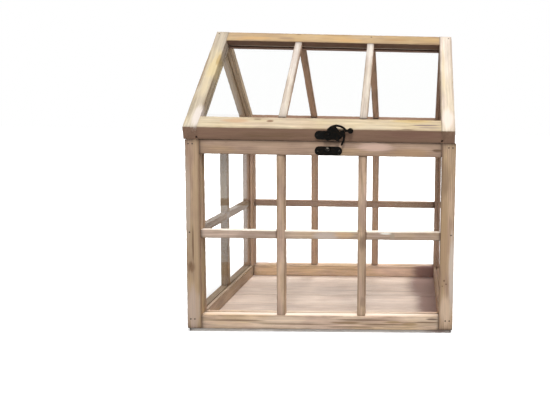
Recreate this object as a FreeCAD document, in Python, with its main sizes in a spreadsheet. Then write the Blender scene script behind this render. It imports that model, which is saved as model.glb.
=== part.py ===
import FreeCAD
import Part
import Sketcher
import os
import re

# Wooden mini greenhouse: a four-post glazed body on two floor boards, and a pitched glazed roof
# that is the lid, hinged at the rear and closed by a hook in front.
# Frame: X to the right, Y towards the rear, Z up. The origin is the middle of the underside.

os.makedirs("parts", exist_ok=True)
doc = FreeCAD.newDocument("mini_greenhouse")

# Driving sizes in millimetres (angles in degrees), each one row of the sheet.
SIZES = {
    "width": (380, "body across the front"),
    "depth": (266, "body from front to rear"),
    "body_height": (276, "underside of the floor to the top of the posts"),
    "ridge_height": (443, "underside of the floor to the ridge"),
    "floor_thick": (4.5, "floor boards"),
    "floor_inset": (2, "floor boards back from the outside"),
    "seam_place": (10, "middle of the floor seam behind the middle of the body"),
    "seam_width": (0.4, "gap between the two floor boards"),
    "post": (20, "square corner posts, and depth of the rails"),
    "rail": (20, "height of the bottom and top rails"),
    "worn_edge": (0.8, "rounding of the long edges"),
    "groove_lip": (12, "wood outside the glass groove of the body"),
    "groove_width": (3, "glass groove"),
    "groove_depth": (3, "glass groove"),
    "glass": (2, "thickness of the panes"),
    "glass_play": (0.3, "pane edge to the bottom of its groove"),
    "thin_bar": (11, "width of the mid rails and mullions"),
    "bar_setback": (1.5, "bars back from the outside"),
    "bar_gap": (0.1, "bar to pane"),
    "mid_height": (142, "middle of the mid rails"),
    "mullion_place": (57.5, "long-wall mullions and roof bars, from the middle"),
    "lid_width": (380, "lid across the front"),
    "lid_shift": (-2, "middle of the lid, sideways from the body"),
    "lid_gap": (0.3, "lid to the top of the body"),
    "lid_thick": (18, "lid frame, square to the slope"),
    "lid_lip": (11, "wood outside the glass groove of the lid"),
    "band_height": (17.4, "upright band along the eave"),
    "eave_overhang": (2.2, "eave edge beyond the body"),
    "band_setback": (1.2, "lower edge of the band behind the face of the body"),
    "stile": (20, "lid members across their end joints"),
    "eave_rail": (20, "eave rail up the slope"),
    "ridge_foot": (0.8, "flat under the ridge rail"),
    "roof_bar": (10.5, "width of the roof bars"),
    "roof_bar_thick": (6, "thickness of the roof bars"),
    "tie_height": (17.7, "gable ties"),
    "brad_shank": (1.2, "wire brads"),
    "brad_head": (2.2, "wire brads"),
    "brad_head_thick": (0.6, "wire brads"),
    "brad_length": (30, "wire brads"),
    "floor_brad_length": (15, "wire brads of the floor"),
    "brad_edge": (4.9, "first brad from the outside"),
    "brad_pitch": (5.7, "first brad to second brad"),
    "brad_stagger": (4, "rail brads above or below the middle of a rail"),
    "bar_stagger": (2.5, "bar brads above or below the middle of a bar"),
    "brad_play": (0.05, "brad to the side of its hole"),
    "hinge_place": (118, "middle of each hinge from the middle of the body"),
    "leaf_width": (25, "hinge leaves"),
    "leaf_height": (12, "hinge leaves"),
    "leaf_thick": (0.8, "hinge leaves"),
    "knuckle": (4, "outside diameter of the hinge knuckles"),
    "knuckle_gap": (0.15, "between two knuckles"),
    "hinge_pin": (1.6, "hinge pins"),
    "pin_play": (0.05, "pin to the side of its hole"),
    "screw_shank": (1.8, "hinge screws"),
    "screw_head": (3.2, "hinge screws"),
    "screw_head_thick": (0.6, "hinge screws"),
    "screw_length": (9, "hinge screws"),
    "latch_place": (10, "latch sideways from the middle"),
    "plate_length": (38.4, "latch plates"),
    "plate_height": (12.6, "latch plates"),
    "plate_thick": (1.2, "latch plates"),
    "keeper_drop": (13.05, "middle of the lower plate under the top of the body"),
    "peg_rise": (2.5, "peg above the middle of the lower plate"),
    "peg_shank": (4, "peg"),
    "peg_head": (6, "peg"),
    "peg_head_thick": (1.6, "peg"),
    "pivot_rise": (8.1, "pivot of the hook above the bottom of the band"),
    "pivot_pin": (2.4, "rivet of the hook"),
    "pivot_head": (6.4, "rivet of the hook"),
    "pivot_head_thick": (1.3, "rivet of the hook"),
    "collar": (5, "spacing collar of the rivet"),
    "rivet_grip": (8, "rivet inside the wood"),
    "hook_standoff": (3.4, "back of the hook from the face of the body"),
    "hook_thick": (2.2, "hook"),
    "hook_side_gap": (0.1, "hook to the collar and to the rivet head"),
    "hook_gap": (0.3, "hook to peg"),
    "hub_radius": (6.7, "hook round its pivot"),
    "prong_thick": (2.7, "outer prong of the jaw"),
    "jaw_root": (10, "end of the jaw's slot below the level of the pivot, degrees"),
    "jaw_tip": (33, "tip of the outer prong below the level of the pivot, degrees"),
    "horn_radius": (16.9, "outside of the horn"),
    "horn_thick": (3.2, "horn"),
    "horn_across": (12.3, "middle of the horn's circle from the pivot"),
    "horn_drop": (1.1, "middle of the horn's circle below the pivot"),
    "knob_reach": (6.2, "end of the horn to the middle of the knob"),
    "knob_radius": (4, "round end of the hook"),
    "plate_pin_place": (15.2, "plate pins from the middle of the plate"),
    "plate_pin_shank": (1.4, "plate pins"),
    "plate_pin_head": (2.6, "plate pins"),
    "plate_pin_head_thick": (0.7, "plate pins"),
    "plate_pin_length": (8, "plate pins"),
}

sheet = doc.addObject("Spreadsheet::Sheet", "Sizes")
for row, (alias, (size, meaning)) in enumerate(SIZES.items(), start=1):
    sheet.set("A%d" % row, meaning)
    sheet.set("B%d" % row, str(size))
    sheet.setAlias("B%d" % row, alias)
doc.recompute()

# Places that follow from the sizes, as formulas in the same words.
WORDS = {
    "half_width": "width / 2",
    "half_depth": "depth / 2",
    "low_top": "floor_thick + rail",
    "high_base": "body_height - rail",
    "groove_far": "groove_lip + groove_width",
    "glass_face": "groove_lip + (groove_width - glass) / 2",
    "pane_inset": "post - groove_depth + glass_play",
    "bar_back": "glass_face - bar_gap",
    "bar_middle": "(bar_setback + bar_back) / 2",
    "lid_base": "body_height + lid_gap",
    "lid_left": "lid_shift - lid_width / 2",
    "lid_right": "lid_shift + lid_width / 2",
    "eave_out": "half_depth + eave_overhang",
    "eave_top": "lid_base + band_height",
    "slope": "atan2(ridge_height - eave_top; eave_out)",
    "slope_run": "eave_out / cos(slope)",
    "ridge_rail": "lid_thick * tan(slope) + ridge_foot",
    "pane_low": "eave_rail - groove_depth + glass_play",
    "pane_high": "slope_run - ridge_rail + groove_depth - glass_play",
    "lid_glass": "lid_lip + (groove_width - glass) / 2",
    "tie_top": "lid_base + tie_height",
    "band_foot": "half_depth - band_setback",
    "band_lean": "atan2(eave_out - band_foot; band_height)",
    "axis_height": "body_height + lid_gap / 2",
    "axis_depth": "half_depth + knuckle / 2 + pin_play",
    "keeper_middle": "body_height - keeper_drop",
    "peg_height": "keeper_middle + peg_rise",
    "pivot_height": "lid_base + pivot_rise",
    "plate_middle": "lid_base + band_height / 2",
    "peg_circle": "pivot_height - peg_height",
    "slot_half": "peg_shank / 2 + hook_gap",
    "hook_back": "half_depth + hook_standoff",
}


def formula(text):
    """Write a formula in the sheet's words as an expression on its cells."""

    def open_word(found):
        word = found.group(0)
        if word in WORDS:
            return "(" + formula(WORDS[word]) + ")"
        if word in SIZES:
            return "Sizes." + word
        return word

    return re.sub(r"[a-z][a-z_0-9]*", open_word, text)


def number(text):
    """The present value of such a formula."""
    return float(sheet.evalExpression(formula(text)))


def bind(thing, prop, text):
    """Tie one property of an object to a formula."""
    thing.setExpression(prop, formula(text))


# Sketches, pads and pockets. An outline is a list of (u, v) formulas in one of the planes
# XY, XZ or YZ, and a range is two formulas along the third direction.

NEAR = 1e-3     # two places closer than this are the same place
MOST = 0.9      # an edge this share of a piece's length runs all along it
PAST = "1"      # a cut or drill comes out this far beyond a face


def start_sketch(body, name, plane, middle):
    """A sketch in the body's own origin plane, moved square to it to the given place."""
    sketch = body.newObject("Sketcher::SketchObject", name)
    roles = {item.Role: item for item in body.Origin.OriginFeatures}
    sketch.AttachmentSupport = (roles[plane + "_Plane"], "")
    sketch.MapMode = "FlatFace"
    side = "-" if plane == "XZ" else ""
    bind(sketch, ".AttachmentOffset.Base.z", side + "(" + middle + ")")
    return sketch


def pin_point(sketch, geometry, corner, u, v):
    """Hold one point of the sketch at the formulas u and v."""
    for kind, text in (("DistanceX", u), ("DistanceY", v)):
        rule = sketch.addConstraint(Sketcher.Constraint(kind, -1, 1, geometry, corner, number(text)))
        bind(sketch, "Constraints[%d]" % rule, text)


def draw_outline(sketch, corners):
    """A closed outline of straight lines through the given corners."""
    points = [FreeCAD.Vector(number(u), number(v), 0) for u, v in corners]
    first = sketch.GeometryCount
    for index, point in enumerate(points):
        following = points[(index + 1) % len(points)]
        sketch.addGeometry(Part.LineSegment(point, following), False)
    for index, (u, v) in enumerate(corners):
        following = first + (index + 1) % len(corners)
        sketch.addConstraint(Sketcher.Constraint("Coincident", first + index, 2, following, 1))
        pin_point(sketch, first + index, 1, u, v)


def draw_circles(sketch, centres, diameter):
    """Circles of one diameter round the given centres."""
    for u, v in centres:
        place = FreeCAD.Vector(number(u), number(v), 0)
        circle = Part.Circle(place, FreeCAD.Vector(0, 0, 1), number(diameter) / 2)
        ring = sketch.addGeometry(circle, False)
        rule = sketch.addConstraint(Sketcher.Constraint("Diameter", ring, number(diameter)))
        bind(sketch, "Constraints[%d]" % rule, diameter)
        pin_point(sketch, ring, 3, u, v)


def through(body, kind, sketch, start, end):
    """Pad or pocket a sketch evenly to both sides, over the length of the range."""
    feature = body.newObject("PartDesign::" + kind, sketch.Name + "_" + kind.lower())
    feature.Profile = sketch
    feature.SideType = "Symmetric"
    bind(feature, "Length", "abs((%s) - (%s))" % (end, start))
    return feature


def middle_of(start, end):
    """Half way between two places."""
    return "((%s) + (%s)) / 2" % (start, end)


def prism(name, plane, corners, start, end):
    """A new body: one straight length of stock with the given section."""
    body = doc.addObject("PartDesign::Body", name)
    body.Label = name
    sketch = start_sketch(body, name + "_section", plane, middle_of(start, end))
    draw_outline(sketch, corners)
    through(body, "Pad", sketch, start, end)
    doc.recompute()
    return body


def cut_outline(body, label, plane, corners, start, end):
    """Cut a straight-sided groove or notch."""
    sketch = start_sketch(body, body.Label + "_" + label, plane, middle_of(start, end))
    draw_outline(sketch, corners)
    through(body, "Pocket", sketch, start, end)


def soften(body, wanted):
    """Round the edges of the last feature that `wanted` picks, as worn stock is."""
    square = body.Tip
    names = []
    for index, edge in enumerate(square.Shape.Edges, start=1):
        if wanted(edge):
            names.append("Edge%d" % index)
    rounding = body.newObject("PartDesign::Fillet", body.Label + "_worn")
    rounding.Base = (square, names)
    bind(rounding, "Radius", "worn_edge")
    doc.recompute()


def corner_edges(body, along):
    """Picks the edges that run along X, Y or Z at the four outer corners of the section."""
    box = body.Shape.BoundBox
    lows = [box.XMin, box.YMin, box.ZMin]
    highs = [box.XMax, box.YMax, box.ZMax]
    others = [axis for axis in range(3) if axis != along]

    def wanted(edge):
        middle = edge.BoundBox.Center
        spans = [edge.BoundBox.XLength, edge.BoundBox.YLength, edge.BoundBox.ZLength]
        if spans[along] < MOST * (highs[along] - lows[along]):
            return False
        return all(min(middle[k] - lows[k], highs[k] - middle[k]) < NEAR for k in others)

    return wanted


# Nails, pins and screws. Each is asked for once, and gives both its own solid and the holes
# in the pieces that it passes through.

DOME_FLAT = "2 / 3"     # flat top of a domed head, as a share of its width

fasteners = {}
holes = {}


def turned(axis, degrees=1):
    """A placement at the origin, turned about one axis, whose angle a formula can then set."""
    turn_only = FreeCAD.Rotation(FreeCAD.Vector(*axis), degrees)
    return FreeCAD.Placement(FreeCAD.Vector(0, 0, 0), turn_only)


def heading(aim):
    """The angle of a nail in the YZ plane, from +Y towards +Z, as a formula."""
    return {"+Y": "0 deg", "-Y": "180 deg"}.get(aim, aim)


def nail(group, pieces, aim, start, size, proud=False):
    """A nail with its head at `start`, pointing along `aim`.

    aim is "+X", "-X", "+Y", "-Y" or "+Z", or a formula for an angle in the YZ plane, measured
    from +Y towards +Z. size names the set of sheet words for shank, head, thickness and length.
    A proud head lies on the surface; the others are sunk flush in the first piece.
    """
    fasteners.setdefault(group, []).append((aim, start, size, proud))
    shank, head, head_thick, length, play = size
    bore = "%s + 2 * %s" % (shank, play)
    for piece in pieces:
        holes.setdefault(piece, []).append((aim, start, bore, length + " + 2 * " + play))
    if not proud:
        recess = "%s + 2 * %s" % (head, play)
        holes[pieces[0]].append((aim, start, recess, head_thick + " + " + play))


def drill_holes(body):
    """Make every hole that the nails asked for in this piece."""
    for count, (aim, start, diameter, length) in enumerate(holes.get(body.Label, []), start=1):
        x, y, z = start
        label = "%s_hole_%d" % (body.Label, count)
        if aim in ("+X", "-X"):
            end = "%s %s (%s)" % (x, aim[0], length)
            sketch = start_sketch(body, label, "YZ", middle_of(x, end))
            draw_circles(sketch, [(y, z)], diameter)
        elif aim == "+Z":
            end = "%s + %s" % (z, length)
            sketch = start_sketch(body, label, "XY", middle_of(z, end))
            draw_circles(sketch, [(x, y)], diameter)
        else:
            angle = heading(aim)
            sketch = start_sketch(body, label, "XZ", y)
            sketch.AttachmentOffset = turned((1, 0, 0))
            far = "(%s) / 2" % length
            bind(sketch, ".AttachmentOffset.Rotation.Angle", angle)
            bind(sketch, ".AttachmentOffset.Base.y", "%s + %s * sin(%s)" % (z, far, angle))
            bind(sketch, ".AttachmentOffset.Base.z", "-(%s + %s * cos(%s))" % (y, far, angle))
            draw_circles(sketch, [(x, "0")], diameter)
        through(body, "Pocket", sketch, "0", length)
    doc.recompute()


def nail_shape(aim, start, size, proud):
    """The solid of one nail: a shank with a flat or slightly domed head."""
    shank, head, head_thick, length = [number(word) for word in size[:4]]
    rod = Part.makeCylinder(shank / 2, length)
    if proud:
        flat = head / 2 * number(DOME_FLAT)
        cap = Part.makeCone(head / 2, flat, head_thick, FreeCAD.Vector(0, 0, 0), FreeCAD.Vector(0, 0, -1))
    else:
        cap = Part.makeCylinder(head / 2, head_thick)
    solid = rod.fuse(cap).removeSplitter()
    if aim in ("+X", "-X"):
        toward = FreeCAD.Vector(1 if aim == "+X" else -1, 0, 0)
    elif aim == "+Z":
        toward = FreeCAD.Vector(0, 0, 1)
    else:
        angle = heading(aim)
        toward = FreeCAD.Vector(0, number("cos(%s)" % angle), number("sin(%s)" % angle))
    place = FreeCAD.Vector(*[number(text) for text in start])
    solid.Placement = FreeCAD.Placement(place, FreeCAD.Rotation(FreeCAD.Vector(0, 0, 1), toward))
    return solid


def fastener_group(name, groups):
    """One node for like nails: a group of separate solids."""
    solids = [nail_shape(*item) for group in groups for item in fasteners[group]]
    feature = doc.addObject("Part::Feature", name)
    feature.Label = name
    feature.Shape = Part.makeCompound(solids)


BRAD = ("brad_shank", "brad_head", "brad_head_thick", "brad_length", "brad_play")
FLOOR_BRAD = ("brad_shank", "brad_head", "brad_head_thick", "floor_brad_length", "brad_play")
RIDGE_BRAD = ("brad_shank", "brad_head", "brad_head_thick", "lid_thick", "brad_play")
SCREW = ("screw_shank", "screw_head", "screw_head_thick", "screw_length", "brad_play")
PLATE_PIN = ("plate_pin_shank", "plate_pin_head", "plate_pin_head_thick", "plate_pin_length",
             "brad_play")

SIDES = {"left": ("-", "+X"), "right": ("", "-X")}
ENDS = {"front": ("-", "+Y"), "rear": ("", "-Y")}


def outward(sign, text):
    """A place that lies `text` from the middle, to the side that the sign gives."""
    return "%s(%s)" % (sign, text)


# Brads of the body. Two go through each face of a post into each rail's end, above or below the
# rail's middle so that the two directions pass each other, and one into each mid rail.

RAIL_LEVELS = {
    "bottom_rail": ("floor_thick + rail / 2", "brad_stagger"),
    "mid_rail": ("mid_height", "bar_stagger"),
    "top_rail": ("body_height - rail / 2", "brad_stagger"),
}

for end, (end_sign, end_aim) in ENDS.items():
    for side, (side_sign, side_aim) in SIDES.items():
        corner = "post_%s_%s" % (end, side)
        for level, (height, stagger) in RAIL_LEVELS.items():
            places = ["brad_edge"] if level == "mid_rail" else ["brad_edge", "brad_edge + brad_pitch"]
            for place in places:
                into_side = (outward(side_sign, "half_width - (%s)" % place),
                             outward(end_sign, "half_depth"),
                             "%s + %s" % (height, stagger))
                nail("body_brads", [corner, level + "_" + side], end_aim, into_side, BRAD)
                into_end = (outward(side_sign, "half_width"),
                            outward(end_sign, "half_depth - (%s)" % place),
                            "%s - %s" % (height, stagger))
                nail("body_brads", [corner, level + "_" + end], side_aim, into_end, BRAD)

# Brads of the floor, from below into the rails.

for end, (end_sign, end_aim) in ENDS.items():
    board = "floor_board_" + end
    for across in ("-half_width / 2", "0", "half_width / 2"):
        place = (across, outward(end_sign, "half_depth - post / 2"), "0")
        nail("floor_brads", [board, "bottom_rail_" + end], "+Z", place, FLOOR_BRAD)
    for side, (side_sign, side_aim) in SIDES.items():
        for along in ("half_depth / 4", "half_depth / 2"):
            place = (outward(side_sign, "half_width - post / 2"), outward(end_sign, along), "0")
            nail("floor_brads", [board, "bottom_rail_" + side], "+Z", place, FLOOR_BRAD)

# Brads of the lid: through each stile into its two rails, and from each slope through the ridge.


def on_slope(end_sign, up, down):
    """A point of the lid, `up` the slope from the eave edge and `down` square to the slope."""
    depth_place = "eave_out - (%s) * cos(slope) - (%s) * sin(slope)" % (up, down)
    height_place = "eave_top + (%s) * sin(slope) - (%s) * cos(slope)" % (up, down)
    return (outward(end_sign, depth_place), height_place)


for end, (end_sign, end_aim) in ENDS.items():
    other_end = "rear" if end == "front" else "front"
    for side, (side_sign, side_aim) in SIDES.items():
        stile_name = "lid_stile_%s_%s" % (end, side)
        outer_side = "lid_" + side
        for up in ("eave_rail / 4", "eave_rail * 3 / 4"):
            place = (outer_side,) + on_slope(end_sign, up, "lid_lip / 2")
            nail("lid_brads", [stile_name, "eave_rail_" + end], side_aim, place, BRAD)
        place = (outer_side,) + on_slope(end_sign, "slope_run - ridge_rail * 2 / 3", "lid_lip / 2")
        nail("lid_brads", [stile_name, "ridge_rail_" + end], side_aim, place, BRAD)
        inward = "+" if side == "left" else "-"
        inset = "brad_edge" if end == "front" else "brad_edge + brad_pitch"
        place = ("%s %s (%s)" % (outer_side, inward, inset),)
        place += on_slope(end_sign, "slope_run - brad_edge", "0")
        ridge_aim = "(slope - 90 deg)" if end == "front" else "(270 deg - slope)"
        ridge_stiles = [stile_name, "lid_stile_%s_%s" % (other_end, side)]
        nail("lid_brads", ridge_stiles, ridge_aim, place, RIDGE_BRAD)

# Pins of the two latch plates, rivet of the hook and screws of the hinges.


def on_band(end_sign, height, out):
    """A point `out` from the leaning face of the lid's band, square to it from the given height."""
    depth_place = "band_foot + (%s - lid_base) * tan(band_lean) + (%s) * cos(band_lean)"
    height_place = "%s - (%s) * sin(band_lean)" % (height, out)
    return (outward(end_sign, depth_place % (height, out)), height_place)


BAND_AIMS = {"front": "band_lean", "rear": "(180 deg - band_lean)"}

for across in ("latch_place - plate_pin_place", "latch_place + plate_pin_place"):
    lower = (across, "-(half_depth + plate_thick)", "keeper_middle")
    nail("keeper_pins", ["top_rail_front"], "+Y", lower, PLATE_PIN, proud=True)
    upper = (across,) + on_band("-", "plate_middle", "plate_thick")
    nail("latch_plate_pins", ["eave_rail_front"], BAND_AIMS["front"], upper, PLATE_PIN, proud=True)

RIVET_BORE = "pivot_pin + 2 * pin_play"
holes["eave_rail_front"].append(
    ("+Y", ("latch_place", "-(eave_out)", "pivot_height"), RIVET_BORE,
     "eave_overhang + rivet_grip + pin_play"))

LEAF_MIDDLE = "knuckle / 2 + leaf_height / 2"
for side, (side_sign, side_aim) in SIDES.items():
    for shift in ("-leaf_width / 4", "leaf_width / 4"):
        across = outward(side_sign, "hinge_place") + " + " + shift
        lower = (across, "half_depth + leaf_thick", "axis_height - (%s)" % LEAF_MIDDLE)
        nail("hinge_base_screws", ["top_rail_rear"], "-Y", lower, SCREW, proud=True)
        upper = (across,) + on_band("", "axis_height + (%s)" % LEAF_MIDDLE, "leaf_thick")
        nail("hinge_lid_screws", ["eave_rail_rear"], BAND_AIMS["rear"], upper, SCREW, proud=True)


# Floor boards: one in front of the seam and one behind it, under the whole frame.

FLOOR_EDGE_X = "half_width - floor_inset"
FLOOR_EDGE_Y = "half_depth - floor_inset"


def floor_board(name, near, far):
    """One board, between two places from front to rear."""
    corners = [("-(%s)" % FLOOR_EDGE_X, near), (FLOOR_EDGE_X, near),
               (FLOOR_EDGE_X, far), ("-(%s)" % FLOOR_EDGE_X, far)]
    body = prism(name, "XY", corners, "0", "floor_thick")
    drill_holes(body)


floor_board("floor_board_front", "-(%s)" % FLOOR_EDGE_Y, "seam_place - seam_width / 2")
floor_board("floor_board_rear", "seam_place + seam_width / 2", FLOOR_EDGE_Y)


# Corner posts: square stock with a groove for each of the two panes that meet there.


def post_section(side_sign, end_sign):
    """Corners of the section, counted inward from the outer corner of the body."""
    steps = [("0", "0"), ("post", "0"), ("post", "groove_lip"),
             ("post - groove_depth", "groove_lip"), ("post - groove_depth", "groove_far"),
             ("post", "groove_far"), ("post", "post"), ("groove_far", "post"),
             ("groove_far", "post - groove_depth"), ("groove_lip", "post - groove_depth"),
             ("groove_lip", "post"), ("0", "post")]
    return [(outward(side_sign, "half_width - (%s)" % across),
             outward(end_sign, "half_depth - (%s)" % along)) for across, along in steps]


for end, (end_sign, end_aim) in ENDS.items():
    for side, (side_sign, side_aim) in SIDES.items():
        body = prism("post_%s_%s" % (end, side), "XY", post_section(side_sign, end_sign),
                     "floor_thick", "body_height")
        soften(body, corner_edges(body, 2))
        drill_holes(body)


# Bottom and top rails: square stock with one groove, cut to fit between the posts.


def rail_section(sign, half_size, low, high, groove_up):
    """Section of a rail, with its groove in the top or in the underside."""
    if groove_up:
        opening, bottom = high, high + " - groove_depth"
    else:
        opening, bottom = low, low + " + groove_depth"
    start = low if groove_up else high
    steps = [("0", start), ("0", opening), ("groove_lip", opening), ("groove_lip", bottom),
             ("groove_far", bottom), ("groove_far", opening), ("post", opening), ("post", start)]
    return [(outward(sign, "%s - (%s)" % (half_size, inset)), height) for inset, height in steps]


def wall_pieces(build):
    """Call `build` once for each wall with its name, sign, planes and sizes."""
    for end, (end_sign, end_aim) in ENDS.items():
        build(end, end_sign, "YZ", "half_depth", "half_width", 0)
    for side, (side_sign, side_aim) in SIDES.items():
        build(side, side_sign, "XZ", "half_width", "half_depth", 1)


def bottom_rail(wall, sign, plane, out, reach, along):
    """A rail on the floor boards, with its groove in the top."""
    section = rail_section(sign, out, "floor_thick", "low_top", True)
    body = prism("bottom_rail_" + wall, plane, section, "-(%s - post)" % reach, "%s - post" % reach)
    soften(body, corner_edges(body, along))
    drill_holes(body)


def top_rail(wall, sign, plane, out, reach, along):
    """A rail level with the tops of the posts, with its groove in the underside."""
    section = rail_section(sign, out, "high_base", "body_height", False)
    body = prism("top_rail_" + wall, plane, section, "-(%s - post)" % reach, "%s - post" % reach)
    soften(body, corner_edges(body, along))
    drill_holes(body)


wall_pieces(bottom_rail)
wall_pieces(top_rail)


# Mid rails and mullions: thin bars on the outer side of the panes. Where they cross, the mullion
# keeps its front half and the mid rail its rear half.

MID_LOW = "mid_height - thin_bar / 2"
MID_HIGH = "mid_height + thin_bar / 2"
MULLION_PLACES = {"long": ("-mullion_place", "mullion_place"), "short": ("0",)}


def box_outline(left, right, low, high):
    """The four corners of a rectangle."""
    return [(left, low), (right, low), (right, high), (left, high)]


def mid_rail(wall, sign, plane, out, reach, along):
    """A thin bar across one wall, notched in front where a mullion crosses it."""
    near = outward(sign, "%s - bar_setback" % out)
    far = outward(sign, "%s - (bar_back)" % out)
    half_way = outward(sign, "%s - (bar_middle)" % out)
    body = prism("mid_rail_" + wall, plane, box_outline(near, far, MID_LOW, MID_HIGH),
                 "-(%s - post)" % reach, "%s - post" % reach)
    soften(body, corner_edges(body, along))
    places = MULLION_PLACES["long" if along == 0 else "short"]
    for count, place in enumerate(places, start=1):
        notch = box_outline(near, half_way, MID_LOW + " - " + PAST, MID_HIGH + " + " + PAST)
        cut_outline(body, "lap_%d" % count, plane, notch,
                    "%s - thin_bar / 2" % place, "%s + thin_bar / 2" % place)
    drill_holes(body)


def mullion(wall, sign, plane, out, reach, along):
    """The thin upright bars of one wall, notched behind where the mid rail crosses them."""
    near = outward(sign, "%s - bar_setback" % out)
    far = outward(sign, "%s - (bar_back)" % out)
    half_way = outward(sign, "%s - (bar_middle)" % out)
    places = MULLION_PLACES["long" if along == 0 else "short"]
    for place, hand in zip(places, ("_left", "_right")):
        name = "mullion_" + wall + (hand if along == 0 else "")
        low = "%s - thin_bar / 2" % place
        high = "%s + thin_bar / 2" % place
        if along == 0:
            section = box_outline(low, high, near, far)
        else:
            section = box_outline(near, far, low, high)
        body = prism(name, "XY", section, "low_top", "high_base")
        soften(body, corner_edges(body, 2))
        notch = box_outline(half_way, far, MID_LOW, MID_HIGH)
        cut_outline(body, "lap", plane, notch, low + " - " + PAST, high + " + " + PAST)
        doc.recompute()


wall_pieces(mid_rail)
wall_pieces(mullion)


# Panes of the body, seated in the grooves all round.


def wall_pane(wall, sign, plane, out, reach, along):
    """The glass of one wall."""
    near = outward(sign, "%s - glass_face" % out)
    far = outward(sign, "%s - glass_face - glass" % out)
    low = "low_top - groove_depth + glass_play"
    high = "high_base + groove_depth - glass_play"
    prism("pane_" + wall, plane, box_outline(near, far, low, high),
          "-(%s - pane_inset)" % reach, "%s - pane_inset" % reach)


wall_pieces(wall_pane)


# Lid stiles: full-length sloping members, cut plumb at the ridge. The eave end is a nearly
# upright band, with a short flat under it that rests on the body.

UNDER_RIDGE = "ridge_height - lid_thick / cos(slope)"
FLAT_END = "(%s - lid_base) / tan(slope)" % UNDER_RIDGE


def stile_outline(end_sign):
    """Eave edge, ridge, underside of the ridge, and the flat that rests on the body."""
    return [(outward(end_sign, "eave_out"), "eave_top"),
            ("0", "ridge_height"),
            ("0", UNDER_RIDGE),
            (outward(end_sign, FLAT_END), "lid_base"),
            (outward(end_sign, "band_foot"), "lid_base")]


def gable_triangle(inset):
    """The triangle between the stiles and the tie, larger all round by the inset."""
    apex = "ridge_height - (lid_thick - (%s)) / cos(slope)" % inset
    foot = "tie_top - (%s)" % inset
    reach = "(%s - (%s)) / tan(slope)" % (apex, foot)
    return [("-(%s)" % reach, foot), (reach, foot), ("0", apex)]


def from_side(side, inset):
    """A place that lies `inset` in from the lid's outer face on one side."""
    return "lid_left + (%s)" % inset if side == "left" else "lid_right - (%s)" % inset


def pane_strip(end_sign, low, high, top, bottom):
    """Outline in the YZ plane of a strip along the slope."""
    return [on_slope(end_sign, low, top), on_slope(end_sign, high, top),
            on_slope(end_sign, high, bottom), on_slope(end_sign, low, bottom)]


def long_top_edge(edge):
    """Picks the two long edges along the slope's outer face."""
    ends = [vertex.Point for vertex in edge.Vertexes]
    if len(ends) < 2:
        return False
    top = number("ridge_height")
    eave = number("eave_top")
    heights = sorted(point.z for point in ends)
    return abs(heights[1] - top) < NEAR and abs(heights[0] - eave) < NEAR


for end, (end_sign, end_aim) in ENDS.items():
    for side in SIDES:
        body = prism("lid_stile_%s_%s" % (end, side), "YZ", stile_outline(end_sign),
                     from_side(side, "0"), from_side(side, "stile"))
        soften(body, long_top_edge)
        groove = pane_strip(end_sign, "eave_rail - groove_depth",
                            "slope_run - ridge_rail + groove_depth",
                            "lid_lip", "lid_lip + groove_width")
        cut_outline(body, "roof_groove", "YZ", groove,
                    from_side(side, "stile - groove_depth"), from_side(side, "stile + " + PAST))
        cut_outline(body, "gable_groove", "YZ", gable_triangle("groove_depth"),
                    from_side(side, "groove_lip"), from_side(side, "groove_far"))
        drill_holes(body)


# Eave and ridge rails, between the stiles.

for end, (end_sign, end_aim) in ENDS.items():
    eave_outline = [
        (outward(end_sign, "eave_out"), "eave_top"),
        on_slope(end_sign, "eave_rail", "0"),
        on_slope(end_sign, "eave_rail", "lid_lip"),
        on_slope(end_sign, "eave_rail - groove_depth", "lid_lip"),
        on_slope(end_sign, "eave_rail - groove_depth", "lid_lip + groove_width"),
        on_slope(end_sign, "eave_rail", "lid_lip + groove_width"),
        on_slope(end_sign, "eave_rail", "lid_thick"),
        (outward(end_sign, FLAT_END), "lid_base"),
        (outward(end_sign, "band_foot"), "lid_base")]
    body = prism("eave_rail_" + end, "YZ", eave_outline, "lid_left + stile", "lid_right - stile")
    drill_holes(body)

    ridge_low = "slope_run - ridge_rail"
    ridge_outline = [
        ("0", "ridge_height"),
        on_slope(end_sign, ridge_low, "0"),
        on_slope(end_sign, ridge_low, "lid_lip"),
        on_slope(end_sign, ridge_low + " + groove_depth", "lid_lip"),
        on_slope(end_sign, ridge_low + " + groove_depth", "lid_lip + groove_width"),
        on_slope(end_sign, ridge_low, "lid_lip + groove_width"),
        on_slope(end_sign, ridge_low, "lid_thick"),
        ("0", UNDER_RIDGE)]
    body = prism("ridge_rail_" + end, "YZ", ridge_outline, "lid_left + stile", "lid_right - stile")
    drill_holes(body)


# Roof bars and roof panes.

for end, (end_sign, end_aim) in ENDS.items():
    for side, (side_sign, side_aim) in SIDES.items():
        strip = pane_strip(end_sign, "eave_rail", "slope_run - ridge_rail", "0", "roof_bar_thick")
        middle = outward(side_sign, "mullion_place")
        prism("roof_bar_%s_%s" % (end, side), "YZ", strip,
              middle + " - roof_bar / 2", middle + " + roof_bar / 2")
    strip = pane_strip(end_sign, "pane_low", "pane_high", "lid_glass", "lid_glass + glass")
    prism("roof_pane_" + end, "YZ", strip,
          from_side("left", "stile - groove_depth + glass_play"),
          from_side("right", "stile - groove_depth + glass_play"))


# Gable ties and gable panes, at the two ends of the lid.

TIE_REACH = "(%s - tie_top) / tan(slope)" % UNDER_RIDGE

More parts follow.
